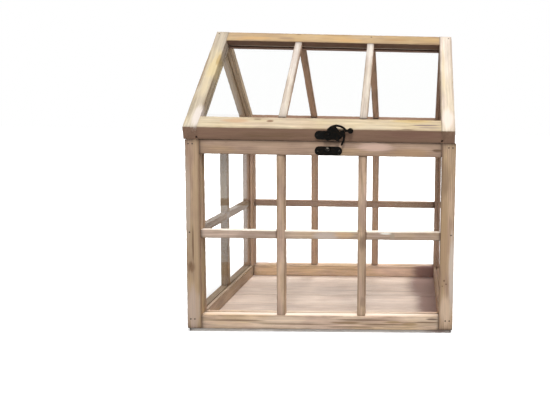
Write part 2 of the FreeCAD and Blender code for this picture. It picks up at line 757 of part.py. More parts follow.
for side in SIDES:
    tie_outline = [("-(%s)" % FLAT_END, "lid_base"), (FLAT_END, "lid_base"),
                   (TIE_REACH, "tie_top"), ("-(%s)" % TIE_REACH, "tie_top")]
    body = prism("gable_tie_" + side, "YZ", tie_outline,
                 from_side(side, "0"), from_side(side, "stile"))
    cut_outline(body, "gable_groove", "YZ", gable_triangle("groove_depth"),
                from_side(side, "groove_lip"), from_side(side, "groove_far"))
    prism("gable_pane_" + side, "YZ", gable_triangle("groove_depth - glass_play"),
          from_side(side, "glass_face"), from_side(side, "glass_face + glass"))


# Latch plates: thin strips with round ends, holes for two pins and one in the middle.


def primitive(kind, name, **sizes):
    """A primitive whose properties are formulas."""
    thing = doc.addObject("Part::" + kind, name)
    for prop, text in sizes.items():
        bind(thing, prop, text)
    return thing


def place_at(thing, x, y, z):
    """Place a primitive by three formulas."""
    bind(thing, ".Placement.Base.x", x)
    bind(thing, ".Placement.Base.y", y)
    bind(thing, ".Placement.Base.z", z)


def disc(name, x, y, diameter, low, high):
    """A round of the given diameter about (x, y), between two heights."""
    height = "(%s) - (%s)" % (high, low)
    thing = primitive("Cylinder", name, Radius="(%s) / 2" % diameter, Height=height)
    place_at(thing, x, y, low)
    return thing


def join(name, things):
    """Fuse the parts of one piece."""
    thing = doc.addObject("Part::MultiFuse", name)
    thing.Shapes = things
    thing.Refine = True
    return thing


def remove(name, base, tools):
    """Cut the tools from the base."""
    tool = tools[0] if len(tools) == 1 else join(name + "_tools", tools)
    thing = doc.addObject("Part::Cut", name)
    thing.Base = base
    thing.Tool = tool
    thing.Refine = True
    return thing


def turn(thing, angle):
    """Turn a finished thing about X by a formula in degrees."""
    thing.Placement = turned((1, 0, 0))
    bind(thing, ".Placement.Rotation.Angle", angle)


def latch_strip(name, hole_up, hole_diameter):
    """A plate drawn flat: length along X, height along Y, front at plate_thick."""
    round_place = "(plate_length - plate_height) / 2"
    middle = primitive("Box", name + "_middle", Length="plate_length - plate_height",
                       Width="plate_height", Height="plate_thick")
    place_at(middle, "-(%s)" % round_place, "-plate_height / 2", "0")
    ends = [disc(name + "_end_left", "-(%s)" % round_place, "0", "plate_height", "0", "plate_thick"),
            disc(name + "_end_right", round_place, "0", "plate_height", "0", "plate_thick")]
    blank = join(name + "_blank", [middle] + ends)
    pin_hole = "plate_pin_shank + 2 * brad_play"
    behind, before = "-" + PAST, "plate_thick + " + PAST
    drills = [disc(name + "_hole_left", "-plate_pin_place", "0", pin_hole, behind, before),
              disc(name + "_hole_right", "plate_pin_place", "0", pin_hole, behind, before),
              disc(name + "_hole_middle", "0", hole_up, hole_diameter, behind, before)]
    plate = remove(name, blank, drills)
    plate.Label = name
    return plate


keeper = latch_strip("keeper_plate", "peg_rise", "peg_shank / 2 + 2 * pin_play")
turn(keeper, "90 deg")
place_at(keeper, "latch_place", "-half_depth", "keeper_middle")

# The upper plate leans with the band, and its middle hole clears the level rivet.
band_y, band_z = on_band("-", "plate_middle", "0")
upper_hole_up = "(pivot_height - plate_middle) / cos(band_lean)"
upper_hole = "pivot_pin + 2 * pin_play + 2 * plate_thick * tan(band_lean)"
latch_plate = latch_strip("latch_plate", upper_hole_up, upper_hole)
turn(latch_plate, "90 deg + band_lean")
place_at(latch_plate, "latch_place", band_y, band_z)

# Peg of the keeper: a tenon in the plate, a shank that the hook grips and a wide head.
peg_front = "hook_standoff + hook_thick + hook_gap"
peg_parts = [
    disc("peg_tenon", "0", "0", "peg_shank / 2", "0", "plate_thick"),
    disc("peg_shank_round", "0", "0", "peg_shank", "plate_thick", peg_front),
    disc("peg_head_round", "0", "0", "peg_head", peg_front, peg_front + " + peg_head_thick / 2")]
peg_dome = primitive("Cone", "peg_dome", Radius1="peg_head / 2",
                     Radius2="peg_head / 2 * " + DOME_FLAT, Height="peg_head_thick / 2")
place_at(peg_dome, "0", "0", peg_front + " + peg_head_thick / 2")
keeper_peg = join("keeper_peg", peg_parts + [peg_dome])
keeper_peg.Label = "keeper_peg"
turn(keeper_peg, "90 deg")
place_at(keeper_peg, "latch_place", "-half_depth", "peg_height")

# Rivet of the hook: grips the wood, carries the hook on a collar and ends in a domed head.
plate_at_pivot = "pivot_rise * tan(band_lean) + plate_thick / cos(band_lean) - band_setback"
collar_back = "%s + collar / 2 * tan(band_lean) + pin_play" % plate_at_pivot
collar_front = "hook_standoff - hook_side_gap"
rivet_front = "hook_standoff + hook_thick + hook_side_gap"
rivet_parts = [
    disc("rivet_shank", "0", "0", "pivot_pin", "-rivet_grip", rivet_front + " + pivot_head_thick / 2"),
    disc("rivet_collar", "0", "0", "collar", collar_back, collar_front),
    disc("rivet_head", "0", "0", "pivot_head", rivet_front, rivet_front + " + pivot_head_thick / 2")]
rivet_dome = primitive("Cone", "rivet_dome", Radius1="pivot_head / 2",
                       Radius2="pivot_head / 2 * " + DOME_FLAT, Height="pivot_head_thick / 2")
place_at(rivet_dome, "0", "0", rivet_front + " + pivot_head_thick / 2")
latch_rivet = join("latch_rivet", rivet_parts + [rivet_dome])
latch_rivet.Label = "latch_rivet"
turn(latch_rivet, "90 deg")
place_at(latch_rivet, "latch_place", "-half_depth", "pivot_height")


# Hook: cut from flat stock, drawn about its pivot with X to the right and Y up, then stood up.


def sector(name, x, y, radius, start, end):
    """A slice of a round plate between two angles in degrees, counted from +X towards +Y."""
    spread = "(%s) - (%s)" % (end, start)
    thing = primitive("Cylinder", name, Radius=radius, Height="hook_thick", Angle=spread)
    thing.Placement = turned((0, 0, 1))
    bind(thing, ".Placement.Rotation.Angle", start)
    place_at(thing, x, y, "0")
    return thing


def band_sector(name, x, y, inner, outer, start, end):
    """A slice of a flat ring."""
    solid = sector(name + "_outer", x, y, outer, start, end)
    hollow = disc(name + "_inner", x, y, "2 * (%s)" % inner, "-" + PAST, "hook_thick + " + PAST)
    return remove(name, solid, [hollow])


JAW_INNER = "peg_circle - (slot_half)"
JAW_OUTER = "peg_circle + (slot_half)"
PRONG_OUTER = "peg_circle + (slot_half) + prong_thick"

# Where each slice of the hook starts or ends, in degrees.
CHEEK_LOW = "-30"
CHEEK_HIGH = "50"
ROOT_HIGH = "22"
HORN_TAIL = "34"
HORN_LEFT = "148"
HORN_TOP = "92"

horn_middle = "(horn_radius - horn_thick / 2)"
tail_x = "horn_across + %s * cos(%s)" % (horn_middle, HORN_TAIL)
tail_y = "-horn_drop + %s * sin(%s)" % (horn_middle, HORN_TAIL)

hub = disc("hook_hub", "0", "0", "2 * hub_radius", "0", "hook_thick")
cheek = sector("hook_cheek", "0", "0", JAW_INNER, CHEEK_LOW, CHEEK_HIGH)
root = sector("hook_root", "0", "0", PRONG_OUTER, "-jaw_root", ROOT_HIGH)
prong = band_sector("hook_prong", "0", "0", JAW_OUTER, PRONG_OUTER, "-jaw_tip", "0")
prong_middle = "(%s + prong_thick / 2)" % JAW_OUTER
prong_end = disc("hook_prong_end", prong_middle + " * cos(jaw_tip)", "-" + prong_middle + " * sin(jaw_tip)",
                 "prong_thick", "0", "hook_thick")
horn = band_sector("hook_horn", "horn_across", "-horn_drop", "horn_radius - horn_thick", "horn_radius",
                   HORN_TAIL, HORN_LEFT)
shoulder = sector("hook_shoulder", "horn_across", "-horn_drop", "horn_radius", HORN_TOP, HORN_LEFT)
tail = primitive("Box", "hook_tail", Length="knob_reach", Width="horn_thick", Height="hook_thick")
place_at(tail, tail_x, tail_y + " - horn_thick / 2", "0")
tail_round = disc("hook_tail_round", tail_x, tail_y, "horn_thick", "0", "hook_thick")
knob = disc("hook_knob", tail_x + " + knob_reach", tail_y, "2 * knob_radius", "0", "hook_thick")
hook_blank = join("hook_blank",
                  [hub, cheek, root, prong, prong_end, horn, shoulder, tail, tail_round, knob])
pivot_hole = disc("hook_pivot_hole", "0", "0", RIVET_BORE, "-" + PAST, "hook_thick + " + PAST)
slot_end = disc("hook_slot_end", "peg_circle * cos(jaw_root)", "-peg_circle * sin(jaw_root)",
                "2 * (slot_half)", "-" + PAST, "hook_thick + " + PAST)
latch_hook = remove("latch_hook", hook_blank, [pivot_hole, slot_end])
latch_hook.Label = "latch_hook"
turn(latch_hook, "90 deg")
place_at(latch_hook, "latch_place", "-(hook_back)", "pivot_height")


# Hinges: two butt hinges. Each fixed leaf has the two outer knuckles, each moving leaf the middle
# one. The moving leaf lies on the leaning band and is cranked to reach the pin.

KNUCKLE_THIRD = "leaf_width / 3"
BORE = "hinge_pin + 2 * pin_play"


def knuckle_round(name, start, end, diameter):
    """A round about the hinge axis between two places along X."""
    length = "(%s) - (%s)" % (end, start)
    thing = primitive("Cylinder", name, Radius="(%s) / 2" % diameter, Height=length)
    thing.Placement = turned((0, 1, 0), 90)
    place_at(thing, start, "axis_depth", "axis_height")
    return thing


def leaf_holes(name, middle, start, aim):
    """Screw holes through a leaf, wider than the screws."""
    drills = []
    for count, shift in enumerate(("-leaf_width / 4", "leaf_width / 4"), start=1):
        label = "%s_screw_hole_%d" % (name, count)
        drill = primitive("Cylinder", label, Radius="screw_shank / 2 + brad_play",
                          Height="2 * (leaf_thick + %s)" % PAST)
        drill.Placement = turned((1, 0, 0))
        bind(drill, ".Placement.Rotation.Angle", "(%s) - 90 deg" % aim)
        y, z = start
        along = "(leaf_thick + %s)" % PAST
        place_at(drill, "%s + %s" % (middle, shift),
                 "%s - %s * cos(%s)" % (y, along, aim), "%s - %s * sin(%s)" % (z, along, aim))
        drills.append(drill)
    return drills


base_leaves = []
lid_leaves = []
hinge_pins = []
for side, (side_sign, side_aim) in SIDES.items():
    middle = outward(side_sign, "hinge_place")
    left = middle + " - leaf_width / 2"
    right = middle + " + leaf_width / 2"
    third = middle + " - " + KNUCKLE_THIRD + " / 2"
    two_thirds = middle + " + " + KNUCKLE_THIRD + " / 2"

    plate = primitive("Box", "base_leaf_plate_" + side, Length="leaf_width", Width="leaf_thick",
                      Height="leaf_height")
    place_at(plate, left, "half_depth", "axis_height - knuckle / 2 - leaf_height")
    solids = [plate]
    for count, (start, end) in enumerate(((left, third), (two_thirds, right)), start=1):
        neck = primitive("Box", "base_leaf_neck_%s_%d" % (side, count),
                         Length="(%s) - (%s)" % (end, start), Width="leaf_thick",
                         Height="knuckle / 2 + leaf_thick")
        place_at(neck, start, "half_depth", "axis_height - knuckle / 2 - leaf_thick")
        solids.append(neck)
        solids.append(knuckle_round("base_leaf_knuckle_%s_%d" % (side, count), start, end, "knuckle"))
    drills = leaf_holes("base_leaf_" + side, middle,
                        ("half_depth + leaf_thick", "axis_height - (%s)" % LEAF_MIDDLE), "180 deg")
    bore_left, bore_right = left + " - " + PAST, right + " + " + PAST
    drills.append(knuckle_round("base_leaf_bore_" + side, bore_left, bore_right, BORE))
    base_leaves.append(remove("base_leaf_" + side, join("base_leaf_blank_" + side, solids), drills))

    low = "axis_height + knuckle / 2 + knuckle_gap"
    high = low + " + leaf_height"
    strip = [on_band("", low, "0"), on_band("", high, "0"),
             on_band("", high, "leaf_thick"), on_band("", low, "leaf_thick")]
    plate = prism("lid_leaf_plate_" + side, "YZ", strip, left, right)
    inner_left = third + " + knuckle_gap"
    inner_right = two_thirds + " - knuckle_gap"
    crank = [on_band("", low + " + leaf_thick", "0"), on_band("", low + " + leaf_thick", "leaf_thick"),
             ("axis_depth", "axis_height + knuckle / 2"), ("axis_depth", "axis_height"),
             ("axis_depth - knuckle / 2 + leaf_thick / 4", "axis_height + lid_gap / 2")]
    neck = prism("lid_leaf_neck_" + side, "YZ", crank, inner_left, inner_right)
    barrel = knuckle_round("lid_leaf_knuckle_" + side, inner_left, inner_right, "knuckle")
    drills = leaf_holes("lid_leaf_" + side, middle,
                        on_band("", "axis_height + (%s)" % LEAF_MIDDLE, "leaf_thick"), BAND_AIMS["rear"])
    drills.append(knuckle_round("lid_leaf_bore_" + side, bore_left, bore_right, BORE))
    lid_leaves.append(remove("lid_leaf_" + side, join("lid_leaf_blank_" + side, [plate, neck, barrel]),
                             drills))

    rod = knuckle_round("hinge_pin_rod_" + side, left + " - knuckle_gap", right + " + knuckle_gap",
                        "hinge_pin")
    hinge_pins.append(rod)


def pair(name, things):
    """One node for the two like pieces of the two hinges."""
    group = doc.addObject("Part::Compound", name)
    group.Label = name
    group.Links = things


pair("hinge_base_leaves", base_leaves)
pair("hinge_lid_leaves", lid_leaves)
pair("hinge_pins", hinge_pins)

fastener_group("body_brads", ["body_brads", "floor_brads"])
fastener_group("lid_brads", ["lid_brads"])
fastener_group("keeper_pins", ["keeper_pins"])
fastener_group("latch_plate_pins", ["latch_plate_pins"])
fastener_group("hinge_base_screws", ["hinge_base_screws"])
fastener_group("hinge_lid_screws", ["hinge_lid_screws"])


# Check every object, then write one file for each node.

doc.recompute()

scaffold = set()
for thing in doc.Objects:
    for state in thing.State:
        if "Invalid" in state or "Error" in state:
            raise RuntimeError("%s failed: %s" % (thing.Name, thing.State))
    if thing.isDerivedFrom("Part::MultiFuse") or thing.isDerivedFrom("Part::Compound"):
        members = getattr(thing, "Shapes", None) or getattr(thing, "Links", [])
        scaffold.update(member.Name for member in members)
    if thing.isDerivedFrom("Part::Cut"):
        scaffold.update((thing.Base.Name, thing.Tool.Name))

kinds = ("PartDesign::Body", "Part::Cut", "Part::MultiFuse", "Part::Compound", "Part::Feature")
nodes = []
for thing in doc.Objects:
    if thing.TypeId in kinds and thing.Name not in scaffold:
        nodes.append(thing)

for thing in nodes:
    shape = thing.Shape
    if shape.isNull() or not shape.isValid() or not shape.Solids:
        raise RuntimeError("%s has no valid solid" % thing.Label)
    shape.exportStep("parts/%s.step" % thing.Label)

print("%d nodes" % len(nodes))
for thing in nodes:
    box = thing.Shape.BoundBox
    print("%-26s %2d solids  %10.1f mm3  X %8.2f %8.2f  Y %8.2f %8.2f  Z %7.2f %7.2f" % (
        thing.Label, len(thing.Shape.Solids), thing.Shape.Volume,
        box.XMin, box.XMax, box.YMin, box.YMax, box.ZMin, box.ZMax))
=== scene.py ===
import math

import bmesh
import bpy
import numpy as np
from mathutils import Matrix, Vector


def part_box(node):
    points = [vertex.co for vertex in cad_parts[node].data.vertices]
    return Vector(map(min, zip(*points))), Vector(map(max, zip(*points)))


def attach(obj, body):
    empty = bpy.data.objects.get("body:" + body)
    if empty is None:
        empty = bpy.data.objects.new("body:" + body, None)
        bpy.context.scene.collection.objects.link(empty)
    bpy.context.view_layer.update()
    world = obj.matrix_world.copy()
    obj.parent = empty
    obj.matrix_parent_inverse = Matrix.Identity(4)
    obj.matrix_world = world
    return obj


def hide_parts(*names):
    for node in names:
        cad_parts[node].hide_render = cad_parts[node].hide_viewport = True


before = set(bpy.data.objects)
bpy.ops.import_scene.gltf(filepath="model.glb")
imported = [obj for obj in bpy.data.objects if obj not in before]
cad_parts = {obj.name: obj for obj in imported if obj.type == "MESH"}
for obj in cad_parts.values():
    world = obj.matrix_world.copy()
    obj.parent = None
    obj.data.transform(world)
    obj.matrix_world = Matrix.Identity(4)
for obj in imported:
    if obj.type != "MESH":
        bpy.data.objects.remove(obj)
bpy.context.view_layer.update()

# Floor boards. Two thin softwood boards lie under the whole frame with a narrow seam between
# them, and brads hold them up into the bottom rails. Sawn, planed and limed with thin white paint
# that was wiped off again, as all the wood here.

MM = 0.001
PLANED_OFF = 0.06 * MM      # the planed faces lie this far inside the nominal size
UNEVEN = 0.12 * MM          # and wander by up to this much more
STATION = 3 * MM            # spacing of the sections along a length of stock
ARC_POINTS = 5              # on each rounded corner of a section
NEARLY_FLAT = 3.1           # radians: a corner blunter than this gets no arc
SHORT_STRETCH = 2.4 * MM    # a straight stretch shorter than this gets no points of its own
FIRST_POINT = 0.7 * MM      # from an arc to the next point of the outline
POINT_STEP = 2.5 * MM       # between the points of a straight stretch
RUB_REACH = 1.3 * MM        # how far wear, dirt and painted shade spread from a corner
SLOW_WAVE = 45 * MM         # waves along a planed face
QUICK_WAVE = 14 * MM        # waves of the wear along a corner
WORN_OFF = 0.35 * MM        # what wear takes off a corner at most
NICK_SPACING = 28 * MM
NICK_LONG = (0.8, 2.6)      # least and most, in millimetres along the piece
NICK_ROUND = 5 * MM         # how far a nick reaches round the section
NICK_DEEP = (0.15, 0.5)     # least and most, in millimetres
END_DIRT_AND_SHADE = 1.5 * MM         # dark dirt and the painted shade of the seam lie this near an end
END_DUST_AND_SHADE = 7 * MM           # and fainter dirt and painted shade this near


def section(corners):
    """The closed outline of a piece of stock, counter-clockwise.

    Each corner is (u, v, r) or (u, v, r, grime_and_shade), with an arc of radius r that touches
    both its sides. The straight stretches get points close to the arcs and then every few
    millimetres. Returns points (n, 2), outward normals (n, 2), and two marks for each point, from
    0 to 1: how near it is to a rounded corner, and how near to a corner that gets dirt and the
    painted shade of a gap.
    """
    spot = np.array([c[:2] for c in corners], float)
    radius = np.array([c[2] for c in corners], float)
    grime_and_shade = np.array([c[3] if len(c) > 3 else 0.0 for c in corners], float)
    ahead = np.roll(spot, -1, 0) - spot
    ahead /= np.linalg.norm(ahead, axis=1)[:, None]
    behind = -np.roll(ahead, 1, 0)
    facing = np.stack([ahead[:, 1], -ahead[:, 0]], 1)
    points, normals, marks = [], [], []
    for i in range(len(spot)):
        a, b, r = behind[i], ahead[i], radius[i]
        sharp = math.acos(float(np.clip(a @ b, -1, 1)))
        before, after = facing[i - 1], facing[i]
        touch = 0.0
        if r > 0 and sharp < NEARLY_FLAT:
            touch = r / math.tan(sharp / 2)
            turn = np.linspace(0, 1, ARC_POINTS)[:, None]
            arc = before * (1 - turn) + after * turn
            arc /= np.linalg.norm(arc, axis=1)[:, None]
            hollow = a @ after > 0
            bend = -r if hollow else r
            points.append(spot[i] + a * touch - before * bend + arc * bend)
            normals.append(arc)
            marks.append(np.full((len(arc), 2), (0.0 if hollow else 1.0, grime_and_shade[i])))
        else:
            middle = (before + after) / (1 + before @ after)
            points.append(spot[i][None])
            normals.append(middle[None])
            marks.append(np.array([[0.0, grime_and_shade[i]]]))
        j = (i + 1) % len(spot)
        length = np.linalg.norm(spot[j] - spot[i])
        next_touch = 0.0
        if radius[j] > 0:
            next_sharp = math.acos(float(np.clip(-ahead[i] @ ahead[j], -1, 1)))
            next_touch = radius[j] / math.tan(next_sharp / 2) if next_sharp < NEARLY_FLAT else 0.0
        room = length - touch - next_touch
        if room > SHORT_STRETCH:
            inner = np.linspace(FIRST_POINT, room - FIRST_POINT, max(2, int(room / POINT_STEP)))
            points.append(spot[i] + b * (touch + inner)[:, None])
            normals.append(np.repeat(after[None], len(inner), 0))
            rounds = [float(radius[i] > 0), grime_and_shade[i]], [float(radius[j] > 0), grime_and_shade[j]]
            fade = np.exp(-inner / RUB_REACH), np.exp(-(room - inner) / RUB_REACH)
            marks.append(0.75 * (np.outer(fade[0], rounds[0]) + np.outer(fade[1], rounds[1])))
    return np.concatenate(points), np.concatenate(normals), np.clip(np.concatenate(marks), 0, 1)


def ripple(seed, a, b, wavelength):
    """A smooth random field over two coordinates: six sine waves, pressed into 0 to 1 by tanh."""
    random = np.random.default_rng(seed)
    total = 0.0
    for wave in range(6):
        push = random.normal(size=2) * 2 * math.pi / wavelength
        total = total + np.sin(push[0] * a + push[1] * b + random.uniform(0, 2 * math.pi))
    return 0.5 + 0.5 * np.tanh(total / 2.2)


def mesh_piece(name, points, faces, marks=None, crease=35):
    """A mesh object from points and faces, smooth up to the crease angle in degrees."""
    mesh = bpy.data.meshes.new(name)
    mesh.from_pydata(points.tolist(), [], faces)
    mesh.polygons.foreach_set("use_smooth", np.ones(len(mesh.polygons), bool))
    mesh.set_sharp_from_angle(angle=math.radians(crease))
    for mark, values in (marks or {}).items():
        layer = mesh.attributes.new(mark, "FLOAT", "POINT")
        layer.data.foreach_set("value", np.asarray(values, np.float32))
    mesh.update()
    piece = bpy.data.objects.new(name, mesh)
    bpy.context.scene.collection.objects.link(piece)
    return piece


def stock(name, corners, low_cut, high_cut, lay, seed, edge=0.8 * MM, laps=(), split=None,
          bare=None, end_dirt_and_shade=1.0, off=PLANED_OFF):
    """A length of stock: a closed section carried along a straight line.

    A point is origin + u U + v V + s S, where (u, v) runs round the section and s runs from
    low_cut(u, v) to high_cut(u, v), so that either end can be cut at a slant. lay is (origin, U,
    V, S). The faces sink by a smooth field, the worn corners by a little more and by some nicks,
    and each end is broken by a bevel of the width `edge`. A lap (from, to, least, most) keeps v
    within its limits over that stretch of s. split is the v of a crease across the low end.
    bare(u, v, s) says from 0 to 1 how little paint the wood kept, end_dirt_and_shade how much
    dirt and painted shade of the seams sit at its ends, and off how far the faces lie inside the
    nominal size.
    """
    flat, normals, corner_marks = section(corners)
    worn, grime_and_shade = corner_marks.T
    origin, across, down, along = [np.array(part, float) for part in lay]
    count = len(flat)
    low, high = low_cut(*flat.T), high_cut(*flat.T)
    longest = float((high - low).max())
    share = np.linspace(0, 1, max(4, int(longest / STATION)) + 1)
    for start, end, least, most in laps:
        near = np.array([start, start + 1e-5, end - 1e-5, end])
        share = np.union1d(share, (near - low.mean()) / (high - low).mean())
    s = low + edge + (high - low - 2 * edge) * share[:, None]
    around = np.concatenate([[0], np.cumsum(np.linalg.norm(np.diff(flat, axis=0), axis=1))])
    sink = off + UNEVEN * ripple(seed, s, around, SLOW_WAVE)
    sink = sink + worn * WORN_OFF * ripple(seed + 500, s, around, QUICK_WAVE) ** 3
    random = np.random.default_rng(seed + 900)
    middle = (low.min() + high.max()) / 2
    for nick in range(int(longest / NICK_SPACING)):
        where = random.uniform(-0.5, 0.5) * longest + middle
        corner = random.uniform(0, around[-1])
        reach = ((s - where) / (random.uniform(*NICK_LONG) * MM)) ** 2
        reach = reach + ((around - corner) / NICK_ROUND) ** 2
        sink = sink + worn * random.uniform(*NICK_DEEP) * MM * np.exp(-reach)
    uv = flat[None] - normals[None] * sink[..., None]
    for start, end, least, most in laps:
        inside = (s > start) & (s < end)
        uv[..., 1] = np.where(inside, np.clip(uv[..., 1], least, most), uv[..., 1])
    rings = [np.concatenate([uv, s[..., None]], 2)]
    for ring, cut, step in ((uv[0], low_cut, -1), (uv[-1], high_cut, 1)):
        inset = ring - normals * edge
        cap = np.concatenate([inset, cut(*inset.T)[:, None]], 1)[None]
        rings = [cap] + rings if step < 0 else rings + [cap]
    grid = np.concatenate(rings)
    rows = len(grid)
    points = origin + grid[..., :1] * across + grid[..., 1:2] * down + grid[..., 2:] * along
    index = np.arange(rows * count).reshape(rows, count)
    beside = np.roll(index, -1, 1)
    quads = np.stack([index[:-1], beside[:-1], beside[1:], index[1:]], 2)
    faces = quads.reshape(-1, 4).tolist()
    first, last = index[0], index[-1]
    if split is None:
        faces.append(first[::-1].tolist())
    else:
        faces.append(first[flat[:, 1] <= split + 1e-6][::-1].tolist())
        faces.append(first[flat[:, 1] >= split - 1e-6][::-1].tolist())
    faces.append(last.tolist())
    if np.dot(np.cross(across, down), along) < 0:
        faces = [face[::-1] for face in faces]
    to_end = np.minimum(grid[..., 2] - grid[..., 2].min(0), grid[..., 2].max(0) - grid[..., 2])
    # Dirt and the painted shade of the seam, darkest right at an end.
    near_end = np.exp(-to_end / END_DIRT_AND_SHADE) + 0.3 * np.exp(-to_end / END_DUST_AND_SHADE)
    cut_end = np.zeros((rows, count))
    cut_end[0] = cut_end[-1] = 1.0
    unlimed = np.zeros((rows, count))
    if bare is not None:
        unlimed = np.maximum(bare(*np.moveaxis(grid, 2, 0)), cut_end)
    marks = {
        "worn": np.broadcast_to(worn, (rows, count)).ravel(),
        "grime_and_shade": np.clip(near_end * end_dirt_and_shade + grime_and_shade, 0, 1).ravel(),
        "ends": cut_end.ravel(),
        "bare": unlimed.ravel(),
    }
    return mesh_piece(name, points.reshape(-1, 3), faces, marks)


def level(value):
    """A cut square to the length, at the given place."""
    return lambda u, v: np.full(np.shape(u), float(value))


# One effect for all the wood: softwood under a thin, wiped coat of white paint. The grain runs
# along X of the vector that comes in. Growth rings are rounds about that axis, pushed about by
# noise, so faces show stripes and cut ends show arcs.

RINGS_PER_METRE = 420.0
GRAIN_LINE = (0.17, 0.105, 0.065)
SPECK = (0.20, 0.13, 0.09)
KNOT_RIM = (0.30, 0.17, 0.08)
KNOT_HEART = (0.10, 0.055, 0.03)
KNOT_SHAPE = (0.45, 1, 1)   # a knot is drawn out along the grain
CUT_END = (0.24, 0.15, 0.10)
# The colour of dirt and of painted shade in gaps and seams.
DIRT_AND_SHADE = (0.055, 0.035, 0.024)


class Wiring:
    """Short words for placing and joining the nodes of one tree."""

    def __init__(self, tree):
        self.tree = tree

    def join(self, value, socket):
        """An input joined to another node's output, or set. Colours are given without alpha."""
        if isinstance(value, bpy.types.NodeSocket):
            self.tree.links.new(value, socket)
        elif socket.type == "RGBA":
            socket.default_value = (*value, 1)
        else:
            socket.default_value = value

    def add(self, kind, inputs=None, **settings):
        """A node with its settings, and its inputs joined or set."""
        node = self.tree.nodes.new(kind)
        for key, value in settings.items():
            setattr(node, key, value)
        for key, value in (inputs or {}).items():
            self.join(value, node.inputs[key])
        return node

    def maths(self, operation, *values):
        """One step of arithmetic."""
        return self.add("ShaderNodeMath", dict(enumerate(values)), operation=operation).outputs[0]

    def plus(self, a, b):
        """a + b."""
        return self.maths("ADD", a, b)

    def minus(self, a, b):
        """a - b."""
        return self.maths("SUBTRACT", a, b)

    def times(self, a, b):
        """a times b."""
        return self.maths("MULTIPLY", a, b)

    def larger(self, a, b):
        """The larger of a and b."""
        return self.maths("MAXIMUM", a, b)

    def vector(self, operation, *vectors):
        """One step of arithmetic on vectors, or the length of one."""
        node = self.add("ShaderNodeVectorMath", dict(enumerate(vectors)), operation=operation)
        return node.outputs["Value" if operation == "LENGTH" else "Vector"]

    def noise(self, vector, scale, detail=2.0, rough=0.5, twist=0.0):
        """Plain noise, around one half."""
        inputs = {"Vector": vector, "Scale": scale, "Detail": detail, "Roughness": rough,
                  "Distortion": twist}
        return self.add("ShaderNodeTexNoise", inputs).outputs["Fac"]

    def grain(self, vector, along, across, detail=3.0, rough=0.6, scale=1.0, twist=0.0):
        """Noise drawn out along the grain: so many waves a metre along it and across it."""
        return self.noise(self.vector("MULTIPLY", vector, (along, across, across)), scale, detail,
                          rough, twist)

    def ramp(self, value, low, high, out_low=0.0, out_high=1.0):
        """A smooth rise between two values."""
        inputs = {"Value": value, "From Min": low, "From Max": high, "To Min": out_low,
                  "To Max": out_high}
        return self.add("ShaderNodeMapRange", inputs, interpolation_type="SMOOTHSTEP").outputs[0]

    def mix(self, amount, first, second, blend="MIX"):
        """Two colours mixed."""
        inputs = {0: amount, 6: first, 7: second}
        return self.add("ShaderNodeMix", inputs, data_type="RGBA", blend_type=blend).outputs[2]

    def grey(self, value):
        """A grey of the given lightness."""
        inputs = {0: value, 1: value, 2: value}
        return self.add("ShaderNodeCombineColor", inputs).outputs[0]


def effect(name, vectors, colours, values, outputs):
    """A node group with named inputs and outputs, its wiring, and what comes in."""
    tree = bpy.data.node_groups.new(name, "ShaderNodeTree")
    wiring = Wiring(tree)
    for kind, inputs in (("Vector", vectors), ("Color", colours), ("Float", values)):
        for word, value in inputs.items():
            socket = tree.interface.new_socket(word, in_out="INPUT", socket_type="NodeSocket" + kind)
            socket.default_value = (*value, 1) if kind == "Color" else value
    for word, kind in outputs.items():
        tree.interface.new_socket(word, in_out="OUTPUT", socket_type="NodeSocket" + kind)
    return tree, wiring, wiring.add("NodeGroupInput").outputs


limed, w, given = effect(
    "limed softwood",
    vectors={"Vector": (0, 0, 0), "From knot": (9, 9, 9)},
    colours={"Lime": (0.70, 0.50, 0.36), "Tint": (0.60, 0.42, 0.22), "Shade": (0.50, 0.34, 0.27),
             "Bare wood": (0.42, 0.28, 0.19), "Rubbed": (0.26, 0.165, 0.10)},
    values={"Tinted": 0.5, "Shaded": 0.5, "Streaks": 0.4, "Rubbing": 0.6, "Rings": 0.18,
            "Worn": 0.0, "Grime_and_shade": 0.0, "Ends": 0.0, "Bare": 0.0},
    outputs={"Colour": "Color", "Roughness": "Float", "Height": "Float"})

# Where the knot, the growth rings and the brush marks lie.
way = given["Vector"]
knot_way = w.vector("LENGTH", w.vector("MULTIPLY", given["From knot"], KNOT_SHAPE))
swell = w.ramp(knot_way, 0.0, 0.011, 1.0, 0.0)
core = w.ramp(knot_way, 0.0012, 0.0030, 1.0, 0.0)
wander = w.times(w.minus(w.grain(way, 4, 20, 2.0, 0.5), 0.5), 0.010)
wander = w.plus(wander, w.times(swell, 0.005))
parts = w.add("ShaderNodeSeparateXYZ", {0: way}).outputs
side = w.plus(parts[1], wander)
deep = w.plus(parts[2], w.times(wander, 0.7))
from_pith = w.maths("SQRT", w.plus(w.times(side, side), w.times(deep, deep)))
ring = w.maths("FRACT", w.times(from_pith, RINGS_PER_METRE))
late = w.times(w.ramp(ring, 0.35, 0.88), w.ramp(ring, 0.88, 1.0, 1.0, 0.0))
fibre = w.grain(way, 30, 1300)
brush = w.grain(way, 14, 420)
blotch = w.grain(way, 22, 95, 4.0, twist=0.3)
cloud = w.grain(way, 9, 34, rough=0.55)
smoke = w.grain(way, 13, 48, rough=0.55, scale=1.3)
streak = w.grain(way, 9, 420)
speck = w.grain(way, 380, 620, 2.0)

